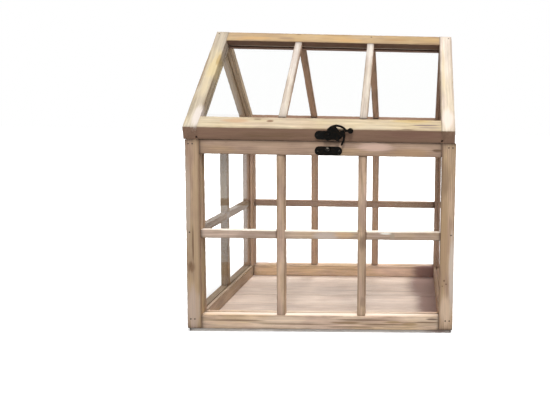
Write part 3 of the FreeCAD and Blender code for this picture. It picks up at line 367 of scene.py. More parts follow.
# The coat over the wood, and then what darkens it, down to the dirt and the painted shade in the
# corners and seams.
coat = w.mix(w.times(w.ramp(cloud, 0.38, 0.60), given["Tinted"]), given["Lime"], given["Tint"])
coat = w.mix(w.times(w.ramp(smoke, 0.42, 0.64), given["Shaded"]), coat, given["Shade"])
tone = w.mix(given["Bare"], coat, given["Bare wood"])
tone = w.mix(w.times(w.ramp(blotch, 0.30, 0.72), 0.22), tone, given["Rubbed"])
tone = w.mix(w.times(late, given["Rings"]), tone, given["Rubbed"])
lines = w.times(w.ramp(streak, 0.585, 0.68), w.ramp(cloud, 0.40, 0.56))
tone = w.mix(w.times(lines, given["Streaks"]), tone, GRAIN_LINE)
rub = w.times(given["Worn"], w.ramp(blotch, 0.34, 0.58, 0.35, 1.0))
tone = w.mix(w.times(rub, given["Rubbing"]), tone, given["Rubbed"])
tone = w.mix(w.times(w.ramp(speck, 0.68, 0.76), 0.35), tone, SPECK)
tone = w.mix(w.times(swell, 0.20), tone, KNOT_RIM)
tone = w.mix(w.times(core, 0.75), tone, KNOT_HEART)
tone = w.mix(w.times(given["Ends"], 0.35), tone, CUT_END)
# Dirt and painted shade in the gaps, the seams and at the ends.
tone = w.mix(w.times(given["Grime_and_shade"], 0.85), tone, DIRT_AND_SHADE)

# Fine light and dark along the fibres, and the relief that goes with it.
grain = w.times(w.ramp(fibre, 0.25, 0.75, 0.90, 1.08), w.ramp(brush, 0.25, 0.75, 0.90, 1.08))
tone = w.mix(1.0, tone, w.grey(grain), "MULTIPLY")
rough = w.plus(0.74, w.times(w.minus(fibre, 0.5), 0.2))
rough = w.plus(rough, w.times(lines, 0.1))
height = w.plus(w.times(fibre, 0.5), w.times(brush, 0.6))
height = w.minus(height, w.times(late, 0.25))
height = w.minus(height, w.times(lines, 0.4))
w.add("NodeGroupOutput", {"Colour": tone, "Roughness": rough, "Height": height})

# A second effect: one stain, knot or paler patch at a place of its own, with a ragged rim; the same
# mark also serves for a painted shadow and a painted highlight.

stain_and_painted_light_mark, w, given = effect(
    "stain in the wood",
    vectors={"Spot": (0, 0, 0), "Grain": (0, 0, 0), "Place": (0, 0, 0), "Reach": (1, 1, 1)},
    colours={"Coat": (1, 1, 1), "Tone": (1, 1, 1)},
    values={"Amount": 0.5, "Ragged": 1.5},
    outputs={"Colour": "Color"})
away = w.vector("DIVIDE", w.vector("SUBTRACT", given["Spot"], given["Place"]), given["Reach"])
away = w.vector("LENGTH", away)
ragged = w.grain(given["Grain"], 40, 420)
away = w.plus(away, w.times(w.minus(ragged, 0.5), given["Ragged"]))
mask = w.times(w.ramp(away, 0.55, 1.25, 1.0, 0.0), given["Amount"])
w.add("NodeGroupOutput", {"Colour": w.mix(mask, given["Coat"], given["Tone"])})

GRAIN_TURNS = {"X": (0, 0, 0), "Y": (0, 0, -90), "Z": (0, 90, 0)}
NO_KNOT = (9, 9, 9)         # metres away from the object


def blank_finish(name):
    """A new material, its wiring and its surface shader."""
    material = bpy.data.materials.new(name)
    material.use_nodes = True
    return material, Wiring(material.node_tree), material.node_tree.nodes["Principled BSDF"]


def limed_wood(name, along, seed, knot=NO_KNOT, stains_and_painted_light=(), **amounts):
    """The finish of one piece of wood: its own place in the tree, and its own coat of lime.

    along is the axis of the grain, or the turns in degrees that lay it along X. A mark in
    stains_and_painted_light, a stain or a painted shadow or highlight, is (place, half sizes,
    colour, amount, raggedness), places and sizes in millimetres.
    """
    material, wiring, surface = blank_finish(name)
    random = np.random.default_rng(seed)
    angle = random.uniform(0, 2 * math.pi)
    pith = random.uniform(22, 60) * MM
    shift = (random.uniform(0, 9), pith * math.cos(angle), pith * math.sin(angle))
    turns = [math.radians(turn) for turn in GRAIN_TURNS.get(along, along)]
    whole = wiring.add("ShaderNodeTexCoord").outputs["Object"]
    mapping = {"Vector": whole, "Location": shift, "Rotation": turns}
    place = wiring.add("ShaderNodeMapping", mapping).outputs[0]
    mapping = {"Vector": wiring.vector("SUBTRACT", whole, knot), "Rotation": turns}
    inputs = {"Vector": place, "From knot": wiring.add("ShaderNodeMapping", mapping).outputs[0]}
    for mark in ("worn", "grime_and_shade", "ends", "bare"):
        reader = wiring.add("ShaderNodeAttribute", attribute_name=mark)
        inputs[mark.capitalize()] = reader.outputs["Fac"]
    for key, value in amounts.items():
        inputs[key.replace("_", " ").capitalize()] = value
    coat = wiring.add("ShaderNodeGroup", inputs, node_tree=limed).outputs
    relief = wiring.add("ShaderNodeBump", {"Height": coat["Height"], "Strength": 0.35,
                                           "Distance": 0.25 * MM})
    colour = coat["Colour"]
    # Stains, knots and paler patches, and painted shadows and highlights, laid over the coat.
    for spot, reach, tone, amount, ragged in stains_and_painted_light:
        colour = wiring.add("ShaderNodeGroup", {
            "Coat": colour, "Spot": whole, "Grain": place, "Tone": tone,
            "Place": [v * MM for v in spot], "Reach": [v * MM for v in reach], "Amount": amount,
            "Ragged": ragged,
        }, node_tree=stain_and_painted_light_mark).outputs[0]
    wiring.join(colour, surface.inputs["Base Color"])
    wiring.join(coat["Roughness"], surface.inputs["Roughness"])
    wiring.join(relief.outputs[0], surface.inputs["Normal"])
    wiring.join(0.15, surface.inputs["Specular IOR Level"])
    return material


def fit(piece, node, body, material):
    """Put a finished piece in the place of its CAD node."""
    piece.data.materials.append(material)
    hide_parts(node)
    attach(piece, body)


def square_stock(low, high, arris):
    """The four corners of a rectangle, with one radius."""
    return [(low[0], low[1], arris), (high[0], low[1], arris), (high[0], high[1], arris),
            (low[0], high[1], arris)]


AXES = X, Y, Z = np.eye(3)
ORIGIN = np.zeros(3)
ARRIS = 0.8 * MM            # radius of the worn long corners
BOARD_ARRIS = 0.7 * MM
# The boards' outer edges are near white: partly bare wood, partly painted light against the shade
# under the rails.
FLOOR_WOOD = dict(
    lime=(0.86, 0.72, 0.62), tint=(0.80, 0.64, 0.52), shade=(0.72, 0.58, 0.50),
    rubbed=(0.42, 0.30, 0.23), bare_wood=(1.0, 0.97, 0.92), streaks=0.15, rubbing=0.1,
)
EDGE_BARE_AND_LIGHTENED = 1.5 * MM        # the outer edge of a board is bare and painted lighter this far in, against the shade under the rail
# The first mark of each board is a painted shadow that darkens its right end; the others are dark
# lines and a darker patch.
FLOOR_STAINS_AND_SHADOW = {
    "front": [((168, -20, 4), (32, 150, 20), (0.31, 0.20, 0.17), 0.94, 0.5),
              ((160, 5, 4.5), (14, 0.9, 2), (0.14, 0.09, 0.08), 0.8, 0.0)],
    "rear": [((160, 70, 4), (40, 90, 20), (0.31, 0.20, 0.17), 0.94, 0.5),
             ((66, 33, 4.5), (110, 0.9, 2), (0.22, 0.15, 0.12), 0.8, 0.0),
             ((-12, 33, 4), (30, 25, 10), (0.60, 0.50, 0.44), 0.5, 1.0)],
}

for seed, end in enumerate(("front", "rear")):
    node = "floor_board_" + end
    low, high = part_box(node)
    corners = square_stock((low.y, low.z), (high.y, high.z), BOARD_ARRIS)
    outer = low.y if end == "front" else high.y
    board = stock(node + "_limed", corners, level(low.x), level(high.x), (ORIGIN, Y, Z, X), seed + 1,
                  bare=lambda y, z, x: np.exp(-np.abs(y - outer) / EDGE_BARE_AND_LIGHTENED))
    wood = limed_wood("floor wood " + end, "X", seed + 11, stains_and_painted_light=FLOOR_STAINS_AND_SHADOW[end], **FLOOR_WOOD)
    fit(board, node, "body", wood)

# Corner posts. Square stock, 20 mm, with a glass groove in each of the two faces that look at a
# pane. They stand on the floor boards, and the rails are nailed to them from outside.

GROOVE_LIP = 12 * MM
GROOVE_WIDTH = 3 * MM
GROOVE_DEPTH = 3 * MM
WALL_WOOD = dict(
    lime=(0.66, 0.47, 0.32), tint=(0.58, 0.41, 0.23), shade=(0.46, 0.30, 0.23),
    tinted=0.75, shaded=0.65, rings=0.3,
)
REAR_WOOD = dict(
    lime=(0.62, 0.41, 0.29), tint=(0.57, 0.38, 0.23), shade=(0.46, 0.29, 0.23),
)
LEFT_WOOD = dict(
    lime=(0.54, 0.41, 0.30), tint=(0.48, 0.36, 0.22), shade=(0.38, 0.28, 0.23),
)
WALL_TONES = {"front": WALL_WOOD, "right": REAR_WOOD, "rear": REAR_WOOD, "left": LEFT_WOOD}
ENDS = (("front", -1), ("rear", 1))
SIDES = (("left", -1), ("right", 1))


def groove(mouth, bottom, lip=GROOVE_LIP):
    """The four corners of a glass groove, as (place along the face, depth, radius)."""
    end = lip + GROOVE_WIDTH
    return [(lip, mouth, 0), (lip, bottom, 0), (end, bottom, 0), (end, mouth, 0)]


def grooved_post(low, high, side_sign, end_sign):
    """A square with a groove in the two faces that look into the body."""
    size = high.x - low.x
    inner = groove(size, size - GROOVE_DEPTH)
    steps = [(0, 0, ARRIS), (size, 0, ARRIS)] + [(v, u, r) for u, v, r in inner]
    steps = steps + [(size, size, ARRIS)] + inner[::-1] + [(0, size, ARRIS)]
    outer_x = high.x if side_sign > 0 else low.x
    outer_y = high.y if end_sign > 0 else low.y
    turned = [(outer_x - side_sign * u, outer_y - end_sign * v, r) for u, v, r in steps]
    return turned if side_sign * end_sign > 0 else turned[::-1]


POST_KNOTS = {"post_front_left": (-0.1845, -0.133, 0.0975)}
POST_STAINS = {
    "post_front_left": [
        ((-171, -133, 140), (2.6, 4, 150), (0.30, 0.19, 0.12), 0.7, 0.6),
        ((-182, -133, 116), (10, 4, 46), (0.42, 0.31, 0.19), 0.4, 1.0),
        ((-181, -133, 36), (9, 4, 34), (0.68, 0.54, 0.48), 0.55, 1.0),
        ((-176, -133, 150), (4, 4, 140), (0.56, 0.39, 0.24), 0.5, 1.0),
        ((-187, -133, 190), (4, 4, 60), (0.66, 0.56, 0.46), 0.5, 1.0),
        ((-180.5, -133, 126), (1.3, 3, 26), (0.20, 0.12, 0.07), 0.8, 0.7),
        ((-183, -133, 94), (5, 3, 8), (0.24, 0.14, 0.08), 0.75, 1.5),
    ],
    "post_front_right": [
        ((170.6, -133, 140), (1.8, 4, 150), (0.34, 0.22, 0.15), 0.6, 0.8),
        ((175, -133, 130), (6, 4, 62), (0.52, 0.35, 0.20), 0.6, 1.0),
        ((174, -133, 184), (7, 4, 44), (0.46, 0.31, 0.17), 0.45, 1.0),
        ((174, -133, 226), (8, 4, 26), (0.28, 0.18, 0.11), 0.55, 1.0),
        ((187, -133, 90), (4, 4, 60), (0.80, 0.70, 0.62), 0.6, 1.0),
        ((176.5, -133, 78), (1.4, 2, 1.4), (0.16, 0.09, 0.05), 0.9, 0.3),
        ((179.5, -133, 73), (1.3, 2, 1.3), (0.18, 0.10, 0.06), 0.9, 0.3),
        ((174, -133, 70), (1.1, 2, 1.1), (0.20, 0.11, 0.06), 0.8, 0.3),
        ((179, -133, 34), (8, 4, 22), (0.84, 0.64, 0.48), 0.5, 1.0),
    ],
}

for end, end_sign in ENDS:
    for side, side_sign in SIDES:
        node = "post_%s_%s" % (end, side)
        low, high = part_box(node)
        seed = 20 + 2 * (end_sign > 0) + (side_sign > 0)
        post = stock(node + "_limed", grooved_post(low, high, side_sign, end_sign),
                     level(low.z), level(high.z), (ORIGIN, X, Y, Z), seed)
        wood = limed_wood(node + " wood", "Z", seed + 100, POST_KNOTS.get(node, NO_KNOT),
                          POST_STAINS.get(node, ()), **WALL_TONES[end])
        fit(post, node, "body", wood)

# Bottom and top rails. The same square stock, cut to fit between the posts, with one groove
# towards the pane: in the top of a bottom rail, in the underside of a top rail.

BUTT_IN = 0.3 * MM          # the ends reach this far into the worn face that they meet
UNDER_LID_SHADE = 0.9        # painted shade of the gap between a top rail and the lid


def counter_clockwise(corners):
    """The same outline, turned round if it runs clockwise."""
    spot = np.array([c[:2] for c in corners])
    following = np.roll(spot, -1, 0)
    area = np.sum(spot[:, 0] * following[:, 1] - following[:, 0] * spot[:, 1])
    return corners if area > 0 else corners[::-1]


def grooved_rail(low, high, out_low, out_high, sign, groove_up):
    """A rail's section across its length: first the depth from its outer face, then the height."""
    size = out_high - out_low
    opening, other = (high, low) if groove_up else (low, high)
    bottom = opening - GROOVE_DEPTH if groove_up else opening + GROOVE_DEPTH
    # The outer top corner of a top rail gets the painted shade of the gap under the lid.
    steps = [(0, other, ARRIS, 0.0 if groove_up else UNDER_LID_SHADE), (0, opening, ARRIS)]
    steps = steps + groove(opening, bottom) + [(size, opening, ARRIS), (size, other, ARRIS)]
    face = out_high if sign > 0 else out_low
    return counter_clockwise([(face - sign * step[0],) + step[1:] for step in steps])


WALLS = {"front": (0, -1), "rear": (0, 1), "left": (1, -1), "right": (1, 1)}
TOP_WOOD = dict(
    lime=(0.59, 0.41, 0.30), tint=(0.53, 0.36, 0.20), shade=(0.40, 0.27, 0.21),
    tinted=0.7, shaded=0.6, rings=0.3,
)
BOTTOM_WOOD = dict(
    lime=(0.98, 0.76, 0.58), tint=(0.86, 0.62, 0.38), shade=(0.74, 0.52, 0.42),
    tinted=0.8, shaded=0.6, streaks=0.9, rings=0.35,
)
FLOOR_RAIL_WOOD = dict(
    lime=(0.84, 0.61, 0.47), tint=(0.74, 0.53, 0.30), shade=(0.52, 0.36, 0.30),
    tinted=0.7, shaded=0.5,
)
RAIL_TONES = {
    "top_rail_front": TOP_WOOD, "bottom_rail_front": BOTTOM_WOOD,
    "bottom_rail_rear": FLOOR_RAIL_WOOD,
}
RAIL_STAINS_AND_PAINTED_LIGHT = {
    "top_rail_front": [
        ((75, -133, 269), (25, 4, 6), (0.80, 0.56, 0.46), 0.7, 1.0),
        ((125, -133, 262), (30, 4, 6), (0.46, 0.29, 0.16), 0.6, 1.0),
        ((163, -133, 265.5), (7, 3, 2), (0.16, 0.10, 0.06), 0.85, 1.0),
    ],
    "bottom_rail_front": [
        ((36, -133, 14.6), (24, 4, 2.0), (0.28, 0.17, 0.08), 0.68, 1.0),
        ((62, -133, 19.0), (46, 3, 1.2), (0.14, 0.08, 0.045), 0.76, 0.4),
        ((95, -133, 12.4), (34, 3, 1.1), (0.18, 0.11, 0.06), 0.72, 0.5),
        ((104, -133, 16), (12, 3, 2), (0.40, 0.26, 0.12), 0.64, 0.6),
        ((40, -133, 8.4), (38, 3, 1.4), (0.26, 0.16, 0.09), 0.68, 0.9),
        ((-40, -133, 12), (50, 3, 1.2), (0.22, 0.14, 0.08), 0.68, 0.5),
        ((-120, -133, 17), (40, 3, 1.3), (0.20, 0.13, 0.08), 0.68, 0.5),
        ((128, -133, 13.5), (12, 3, 2.4), (0.36, 0.23, 0.11), 0.60, 0.6),
        ((152, -133, 16), (20, 3, 1.3), (0.18, 0.11, 0.06), 0.72, 0.6),
        ((160, -133, 21), (9, 3, 1.5), (0.08, 0.045, 0.03), 0.76, 0.6),
        # A painted highlight: the top face of the rail paler, as lit from above.
        ((0, -123, 24.7), (200, 9, 0.8), (0.90, 0.78, 0.66), 0.9, 0.0),
    ],
    # A painted shadow: the right end of the rear bottom rail darker, with the one on the floor.
    "bottom_rail_rear": [((160, 113, 15), (30, 10, 24), (0.28, 0.16, 0.14), 0.92, 0.4)],
}

for row, (kind, groove_up) in enumerate((("bottom_rail_", True), ("top_rail_", False))):
    for count, (wall, (along, sign)) in enumerate(WALLS.items()):
        node = kind + wall
        low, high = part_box(node)
        out = 1 - along
        seed = 40 + 4 * row + count
        corners = grooved_rail(low.z, high.z, low[out], high[out], sign, groove_up)
        rail = stock(node + "_limed", corners, level(low[along] - BUTT_IN),
                     level(high[along] + BUTT_IN), (ORIGIN, AXES[out], Z, AXES[along]), seed)
        wood = limed_wood(node + " wood", "XY"[along], seed + 100, stains_and_painted_light=RAIL_STAINS_AND_PAINTED_LIGHT.get(node, ()),
                          **RAIL_TONES.get(node, WALL_TONES[wall]))
        fit(rail, node, "body", wood)

# Mid rails and mullions. Thin bars on the outer side of the panes, half-lapped where they cross:
# the mullion keeps its front half there, and the mid rail its rear half.

BAR_ARRIS = 0.8 * MM
BAR_FULL = -0.4 * MM        # the bars are a little fuller than their nominal size
MULLION_END_DIRT_AND_SHADE = 0.4          # dirt and painted shade of the seams at the ends of a mullion
MULLIONS = {
    "front": ("_left", "_right"), "rear": ("_left", "_right"), "left": ("",), "right": ("",),
}
BAR_WOOD = dict(
    lime=(0.76, 0.58, 0.47), tint=(0.68, 0.50, 0.31), shade=(0.47, 0.34, 0.28),
    tinted=0.7, shaded=0.65, rings=0.3,
)
MULLION_WOOD = dict(
    lime=(0.78, 0.56, 0.43), tint=(0.70, 0.50, 0.31), shade=(0.52, 0.36, 0.29),
    tinted=0.7, shaded=0.65, rings=0.3,
)
# The rear mid rail is darker than the other rear pieces: partly browner wood, partly painted shade,
# the shade inside the box.
REAR_MID_WOOD = dict(
    lime=(0.42, 0.28, 0.21), tint=(0.38, 0.26, 0.16), shade=(0.32, 0.20, 0.16),
)
LEFT_MULLION_WOOD = dict(
    lime=(0.50, 0.37, 0.24), tint=(0.45, 0.33, 0.18), shade=(0.36, 0.27, 0.19),
)
MID_TONES = {**WALL_TONES, "front": BAR_WOOD, "rear": REAR_MID_WOOD}
MULLION_TONES = {**WALL_TONES, "front": MULLION_WOOD, "left": LEFT_MULLION_WOOD}
BAR_STAINS_AND_PAINTED_LIGHT = {
    "mid_rail_front": [
        # A painted highlight: the top face of the mid rail paler, as lit from above.
        ((0, -126, 147.8), (200, 9, 1.3), (1.0, 0.92, 0.80), 0.9, 0.0),
        ((101, -132, 142.5), (4, 3, 4), (0.45, 0.36, 0.27), 0.85, 1.0),
        ((91, -132, 145.5), (8, 2, 1.4), (0.98, 0.95, 0.85), 0.95, 1.0),
        ((8, -132, 141), (20, 4, 6), (0.66, 0.56, 0.50), 0.7, 1.0),
        ((32, -132, 143), (14, 4, 5), (0.78, 0.52, 0.30), 0.6, 1.0),
    ],
    "mullion_front_right": [
        ((58.5, -132, 131), (5, 3, 13), (0.20, 0.13, 0.09), 0.65, 1.2),
        ((59, -132, 108), (6, 4, 22), (0.60, 0.43, 0.28), 0.4, 1.0),
        ((60, -132, 45), (4, 3, 8), (0.28, 0.19, 0.14), 0.5, 1.4),
        ((53.5, -132, 84), (0.9, 3, 60), (0.30, 0.20, 0.14), 0.5, 0.6),
    ],
}

for count, (wall, (along, sign)) in enumerate(WALLS.items()):
    node = "mid_rail_" + wall
    low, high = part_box(node)
    out = 1 - along
    near, far = low[out], high[out]
    middle = (near + far) / 2
    inner, outer = (near, middle), (middle, far)
    if sign < 0:
        inner, outer = outer, inner
    crossing = [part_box("mullion_" + wall + hand) for hand in MULLIONS[wall]]
    mid_rail = stock(node + "_limed", square_stock((low.z, near), (high.z, far), BAR_ARRIS),
                     level(low[along] - BUTT_IN), level(high[along] + BUTT_IN),
                     (ORIGIN, Z, AXES[out], AXES[along]), 60 + count,
                     laps=[(a[along], b[along]) + inner for a, b in crossing], off=BAR_FULL)
    wood = limed_wood(node + " wood", "XY"[along], 160 + count, stains_and_painted_light=BAR_STAINS_AND_PAINTED_LIGHT.get(node, ()),
                      **MID_TONES[wall])
    fit(mid_rail, node, "body", wood)
    for number, hand in enumerate(MULLIONS[wall]):
        node = "mullion_" + wall + hand
        left, right = crossing[number]
        seed = 70 + 2 * count + number
        mullion = stock(node + "_limed",
                        square_stock((left[along], near), (right[along], far), BAR_ARRIS),
                        level(left.z - BUTT_IN), level(right.z + BUTT_IN),
                        (ORIGIN, AXES[along], AXES[out], Z), seed,
                        laps=[(low.z, high.z) + outer], off=BAR_FULL, end_dirt_and_shade=MULLION_END_DIRT_AND_SHADE)
        wood = limed_wood(node + " wood", "Z", seed + 100, stains_and_painted_light=BAR_STAINS_AND_PAINTED_LIGHT.get(node, ()),
                          **MULLION_TONES[wall])
        fit(mullion, node, "body", wood)

# Panes of the body and of the lid. Clear 2 mm glass, set in the grooves, a little dusty. It lets
# the lamps through to the wood, less so where it is seen at a slant.

PANE_INDEX = 1.09           # low, because the far bars show through two panes with no veil
CLEARNESS = 0.99
SLANT_LOSS = 0.95

glass, pane, clear = blank_finish("pane glass")
pane.join((0.995, 0.998, 0.996), clear.inputs["Base Color"])
pane.join(1.0, clear.inputs["Transmission Weight"])
pane.join(PANE_INDEX, clear.inputs["IOR"])
smear = pane.noise(pane.add("ShaderNodeTexCoord").outputs["Object"], 18.0, 4.0)
pane.join(pane.ramp(smear, 0.5, 0.9, 0.0, 0.02), clear.inputs["Roughness"])
path = pane.add("ShaderNodeLightPath").outputs
passing = pane.larger(path["Is Shadow Ray"], path["Is Diffuse Ray"])
aslant = pane.add("ShaderNodeLayerWeight", {"Blend": 0.5}).outputs["Facing"]
held = pane.times(pane.maths("POWER", aslant, 5.0), SLANT_LOSS)
let_through = pane.grey(pane.minus(CLEARNESS, held))
open_way = pane.add("ShaderNodeBsdfTransparent", {"Color": let_through}).outputs[0]
either = pane.add("ShaderNodeMixShader", {0: passing, 1: clear.outputs[0], 2: open_way})
pane.join(either.outputs[0], glass.node_tree.nodes["Material Output"].inputs["Surface"])


def coat_node(node, material):
    """Give a CAD node its finish."""
    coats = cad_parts[node].data.materials
    coats.clear()
    coats.append(material)


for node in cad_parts:
    if "pane" in node:
        coat_node(node, glass)

# Stiles of the lid. Full-length sloping members, 20 mm wide and 18 mm deep, cut plumb where the
# two slopes meet at the ridge. The lower end is a nearly upright band over a short flat.

lid_low, lid_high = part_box("lid_stile_front_left")
BAND_HEIGHT = 17.4 * MM
LID_THICK = 18 * MM
LID_LIP = 11 * MM
STILE = 20 * MM
EAVE_RAIL = 20 * MM
RIDGE_FOOT = 0.8 * MM
EAVE_OUT = -lid_low.y
LID_BASE = lid_low.z
RIDGE = lid_high.z
EAVE_TOP = LID_BASE + BAND_HEIGHT
BAND_FOOT = 131.8 * MM
SLOPE = math.atan2(RIDGE - EAVE_TOP, EAVE_OUT)
RISE, RUN = math.sin(SLOPE), math.cos(SLOPE)
SLOPE_RUN = EAVE_OUT / RUN
RIDGE_RAIL = LID_THICK * math.tan(SLOPE) + RIDGE_FOOT
UNDER_RIDGE = RIDGE - LID_THICK / RUN
LID_TONES = {
    "ridge": dict(lime=(0.60, 0.44, 0.25), tint=(0.54, 0.34, 0.14), shade=(0.44, 0.30, 0.20)),
    "eave": dict(lime=(0.72, 0.61, 0.43), tint=(0.64, 0.50, 0.27), shade=(0.60, 0.46, 0.36)),
    "left": dict(lime=(0.68, 0.60, 0.48), tint=(0.64, 0.53, 0.30), shade=(0.50, 0.43, 0.34)),
    "right": dict(lime=(0.82, 0.72, 0.61), tint=(0.78, 0.66, 0.45), shade=(0.72, 0.58, 0.50)),
    "bar": dict(lime=(0.83, 0.77, 0.70), tint=(0.78, 0.68, 0.50), shade=(0.70, 0.60, 0.54)),
}
INNER_FACE = (0.84, 0.56, 0.39)
BAND_FACE = (0.30, 0.18, 0.125)
RIDGE_INNER = (0.23, 0.145, 0.105)
REAR_INNER = {"left": (0.74, 0.58, 0.40), "right": (0.46, 0.29, 0.21)}


def slope_lay(sign):
    """Origin at the eave edge, U along X, V down into the wood, S up the slope."""
    origin = np.array([0, sign * EAVE_OUT, EAVE_TOP])
    return origin, X, np.array([0, -sign * RISE, -RUN]), np.array([0, -sign * RUN, RISE])


def plumb_cut(u, v):
    """Where the stile meets the upright plane under the ridge: the line at depth v reaches y = 0."""
    return (EAVE_OUT - v * RISE) / RUN


def eave_cut(u, v):
    """The higher of the leaning band and the flat that rests on the body."""
    out, fall = EAVE_OUT - BAND_FOOT, -BAND_HEIGHT
    on_band = -v * (RISE * fall + RUN * out) / (RUN * fall - RISE * out)
    on_flat = (v * RUN - BAND_HEIGHT) / RISE
    return np.maximum(on_band, on_flat)


STILE_STAINS = {
    "lid_stile_front_left": [
        ((-177, -54, 384), (9, 30, 33), (0.72, 0.58, 0.32), 0.7, 2.0),
        ((-174, -44, 394), (3, 12, 13), (0.46, 0.31, 0.13), 0.7, 1.0),
        ((-180, -82, 353), (7, 22, 24), (0.72, 0.60, 0.40), 0.6, 2.0),
        ((-191, -60, 377), (2.4, 44, 48), (0.30, 0.22, 0.15), 0.8, 1.0),
        ((-190, -112, 319), (5, 16, 18), (0.38, 0.32, 0.24), 0.7, 1.2),
        ((-176, -121, 309), (8, 20, 22), (0.76, 0.68, 0.62), 0.85, 1.0),
    ],
    "lid_stile_front_right": [
        ((173, -53, 384), (3, 50, 55), (0.74, 0.60, 0.36), 0.5, 1.0),
        ((178, -119, 311), (9, 20, 20), (0.88, 0.76, 0.68), 0.7, 1.0),
    ],
}
CREASE = (EAVE_OUT - BAND_FOOT) * RISE + BAND_HEIGHT * RUN  # depth at which band and flat meet
SLOPE_TURNS = {-1: (-math.degrees(SLOPE), 0, -90), 1: (math.degrees(SLOPE), 0, -90)}
LIME_END = 0.5 * MM         # the lime ends this far down the sides
LIME_FADE = 0.3 * MM
STILE_EDGE = 0.3 * MM
LID_END_DIRT_AND_SHADE = 0.1              # dirt and painted shade of the seams at the ends of the lid's long pieces


def unpainted(u, v, s):
    """The lime was brushed on the slope: the sides, the underside and the band stayed brown."""
    return np.clip((v - LIME_END) / LIME_FADE, 0, 1)


def thinly_painted(u, v, s):
    """The front stiles got some of it on their sides too, above the eave rail."""
    return np.where(s < EAVE_RAIL, 1, 0.25) * unpainted(u, v, s)


SIDE_COAT = {"front": thinly_painted, "rear": unpainted}
# Painted shade along the inner corner of a front stile's slope face, next to the opening.
INNER_EDGE_SHADE = {"front": 0.35, "rear": 0.0}

for end, end_sign in ENDS:
    for side, side_sign in SIDES:
        node = "lid_stile_%s_%s" % (end, side)
        low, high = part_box(node)
        outer = high.x if side_sign > 0 else low.x
        inner = [(v, u, r) for u, v, r in groove(STILE, STILE - GROOVE_DEPTH, LID_LIP)]
        under = groove(LID_THICK, LID_THICK - GROOVE_DEPTH)[::-1]
        steps = [(0, 0, ARRIS), (STILE, 0, ARRIS, INNER_EDGE_SHADE[end])] + inner
        steps = steps + [(STILE, CREASE, 0), (STILE, LID_THICK, ARRIS)] + under
        steps = steps + [(0, LID_THICK, ARRIS), (0, CREASE, 0)]
        corners = counter_clockwise([(outer - side_sign * step[0],) + step[1:] for step in steps])
        seed = 80 + 2 * (end_sign > 0) + (side_sign > 0)
        stile = stock(node + "_limed", corners, eave_cut, plumb_cut, slope_lay(end_sign), seed,
                      edge=STILE_EDGE, split=CREASE, bare=SIDE_COAT[end], end_dirt_and_shade=LID_END_DIRT_AND_SHADE)
        wood = limed_wood(node + " wood", SLOPE_TURNS[end_sign], seed + 100,
                          bare_wood=BAND_FACE if end == "front" else REAR_INNER[side],
                          stains_and_painted_light=STILE_STAINS.get(node, ()), **LID_TONES[side])
        fit(stile, node, "lid", wood)

# Eave and ridge rails. They run between the stiles and share their outer faces: the eave rail
# has the band in front, and the two ridge rails meet at the top.

LID_FOOT_SHADE = 0.6             # painted shade of the gap between the lid's foot and the body


def on_slope(sign, up, down, radius=0):
    """A corner in the YZ plane, up the slope from the eave edge and square to it into the wood."""
    return (sign * (EAVE_OUT - up * RUN - down * RISE), EAVE_TOP + up * RISE - down * RUN, radius)


def below_slope(sign):
    """Bare wherever the face lies below the slope."""
    def bare(y, z, x):
        return unpainted(x, (EAVE_OUT - sign * y) * RISE + (EAVE_TOP - z) * RUN, x)
    return bare


LONG_STAINS = {
    "eave_rail_front": [
        ((-73, -126.4, 303.4), (5, 2.4, 2.4), (0.26, 0.15, 0.09), 0.9, 0.8),
        ((-91, -124.4, 305.6), (6, 1.2, 1.2), (0.24, 0.17, 0.11), 0.9, 0.8),
        ((-120, -126.4, 303.5), (20, 4, 4), (0.58, 0.38, 0.23), 0.75, 1.0),
        ((131, -122.8, 307.4), (14, 2.2, 2.2), (0.22, 0.12, 0.06), 0.95, 0.8),
        ((128, -123.5, 306.6), (30, 4, 4), (0.62, 0.46, 0.22), 0.7, 1.0),
        ((146, -128.5, 301), (20, 1.6, 1.6), (0.26, 0.19, 0.17), 0.9, 0.9),
        ((150, -131.5, 298), (18, 1.2, 1.2), (0.30, 0.22, 0.20), 0.8, 0.8),
        ((120, -134.3, 294.7), (9, 1.2, 1.2), (0.24, 0.17, 0.11), 0.9, 0.5),
        ((0, -119.5, 311.2), (200, 2, 2), (0.86, 0.72, 0.42), 0.6, 0.5),
        ((130, -135.5, 285), (70, 3, 9), (0.23, 0.12, 0.09), 0.6, 1.0),
        ((-62, -135, 281), (80, 3, 7), (0.19, 0.12, 0.065), 0.6, 1.0),
    ],
    "ridge_rail_front": [
        ((0, -6.1, 420.6), (200, 0.7, 0.7), (0.80, 0.68, 0.56), 0.9, 0.3),
        ((0, -1.9, 416.8), (200, 2.1, 2.1), (0.46, 0.31, 0.25), 0.8, 0.3),
        ((-128, -9, 433), (26, 4, 4.4), (0.58, 0.37, 0.17), 0.75, 1.6),
        ((-150, -12, 430), (9, 3, 3), (0.56, 0.36, 0.17), 0.6, 1.6),
        ((-77, -8.6, 433.5), (14, 3, 3.3), (0.36, 0.24, 0.15), 0.8, 1.2),
        ((-60, -2, 441), (5, 1, 1), (0.20, 0.12, 0.07), 0.8, 0.6),
        ((-100, -13.2, 428.4), (70, 1.0, 1.1), (0.30, 0.19, 0.11), 0.75, 1.0),
        ((22, -9.8, 432.2), (26, 3, 3.3), (0.56, 0.35, 0.16), 0.75, 1.6),
        ((98, -7.5, 434.8), (20, 2.2, 2.4), (0.44, 0.26, 0.12), 0.8, 1.4),
        ((148, -12.2, 429.4), (22, 1.6, 1.8), (0.28, 0.18, 0.10), 0.85, 0.8),
        ((57.7, -3.4, 439.2), (1.7, 1.0, 1.1), (0.05, 0.03, 0.02), 1.0, 0.0),
        ((120, -8, 434), (70, 8, 8), (0.38, 0.25, 0.12), 0.3, 1.0),
    ],
}

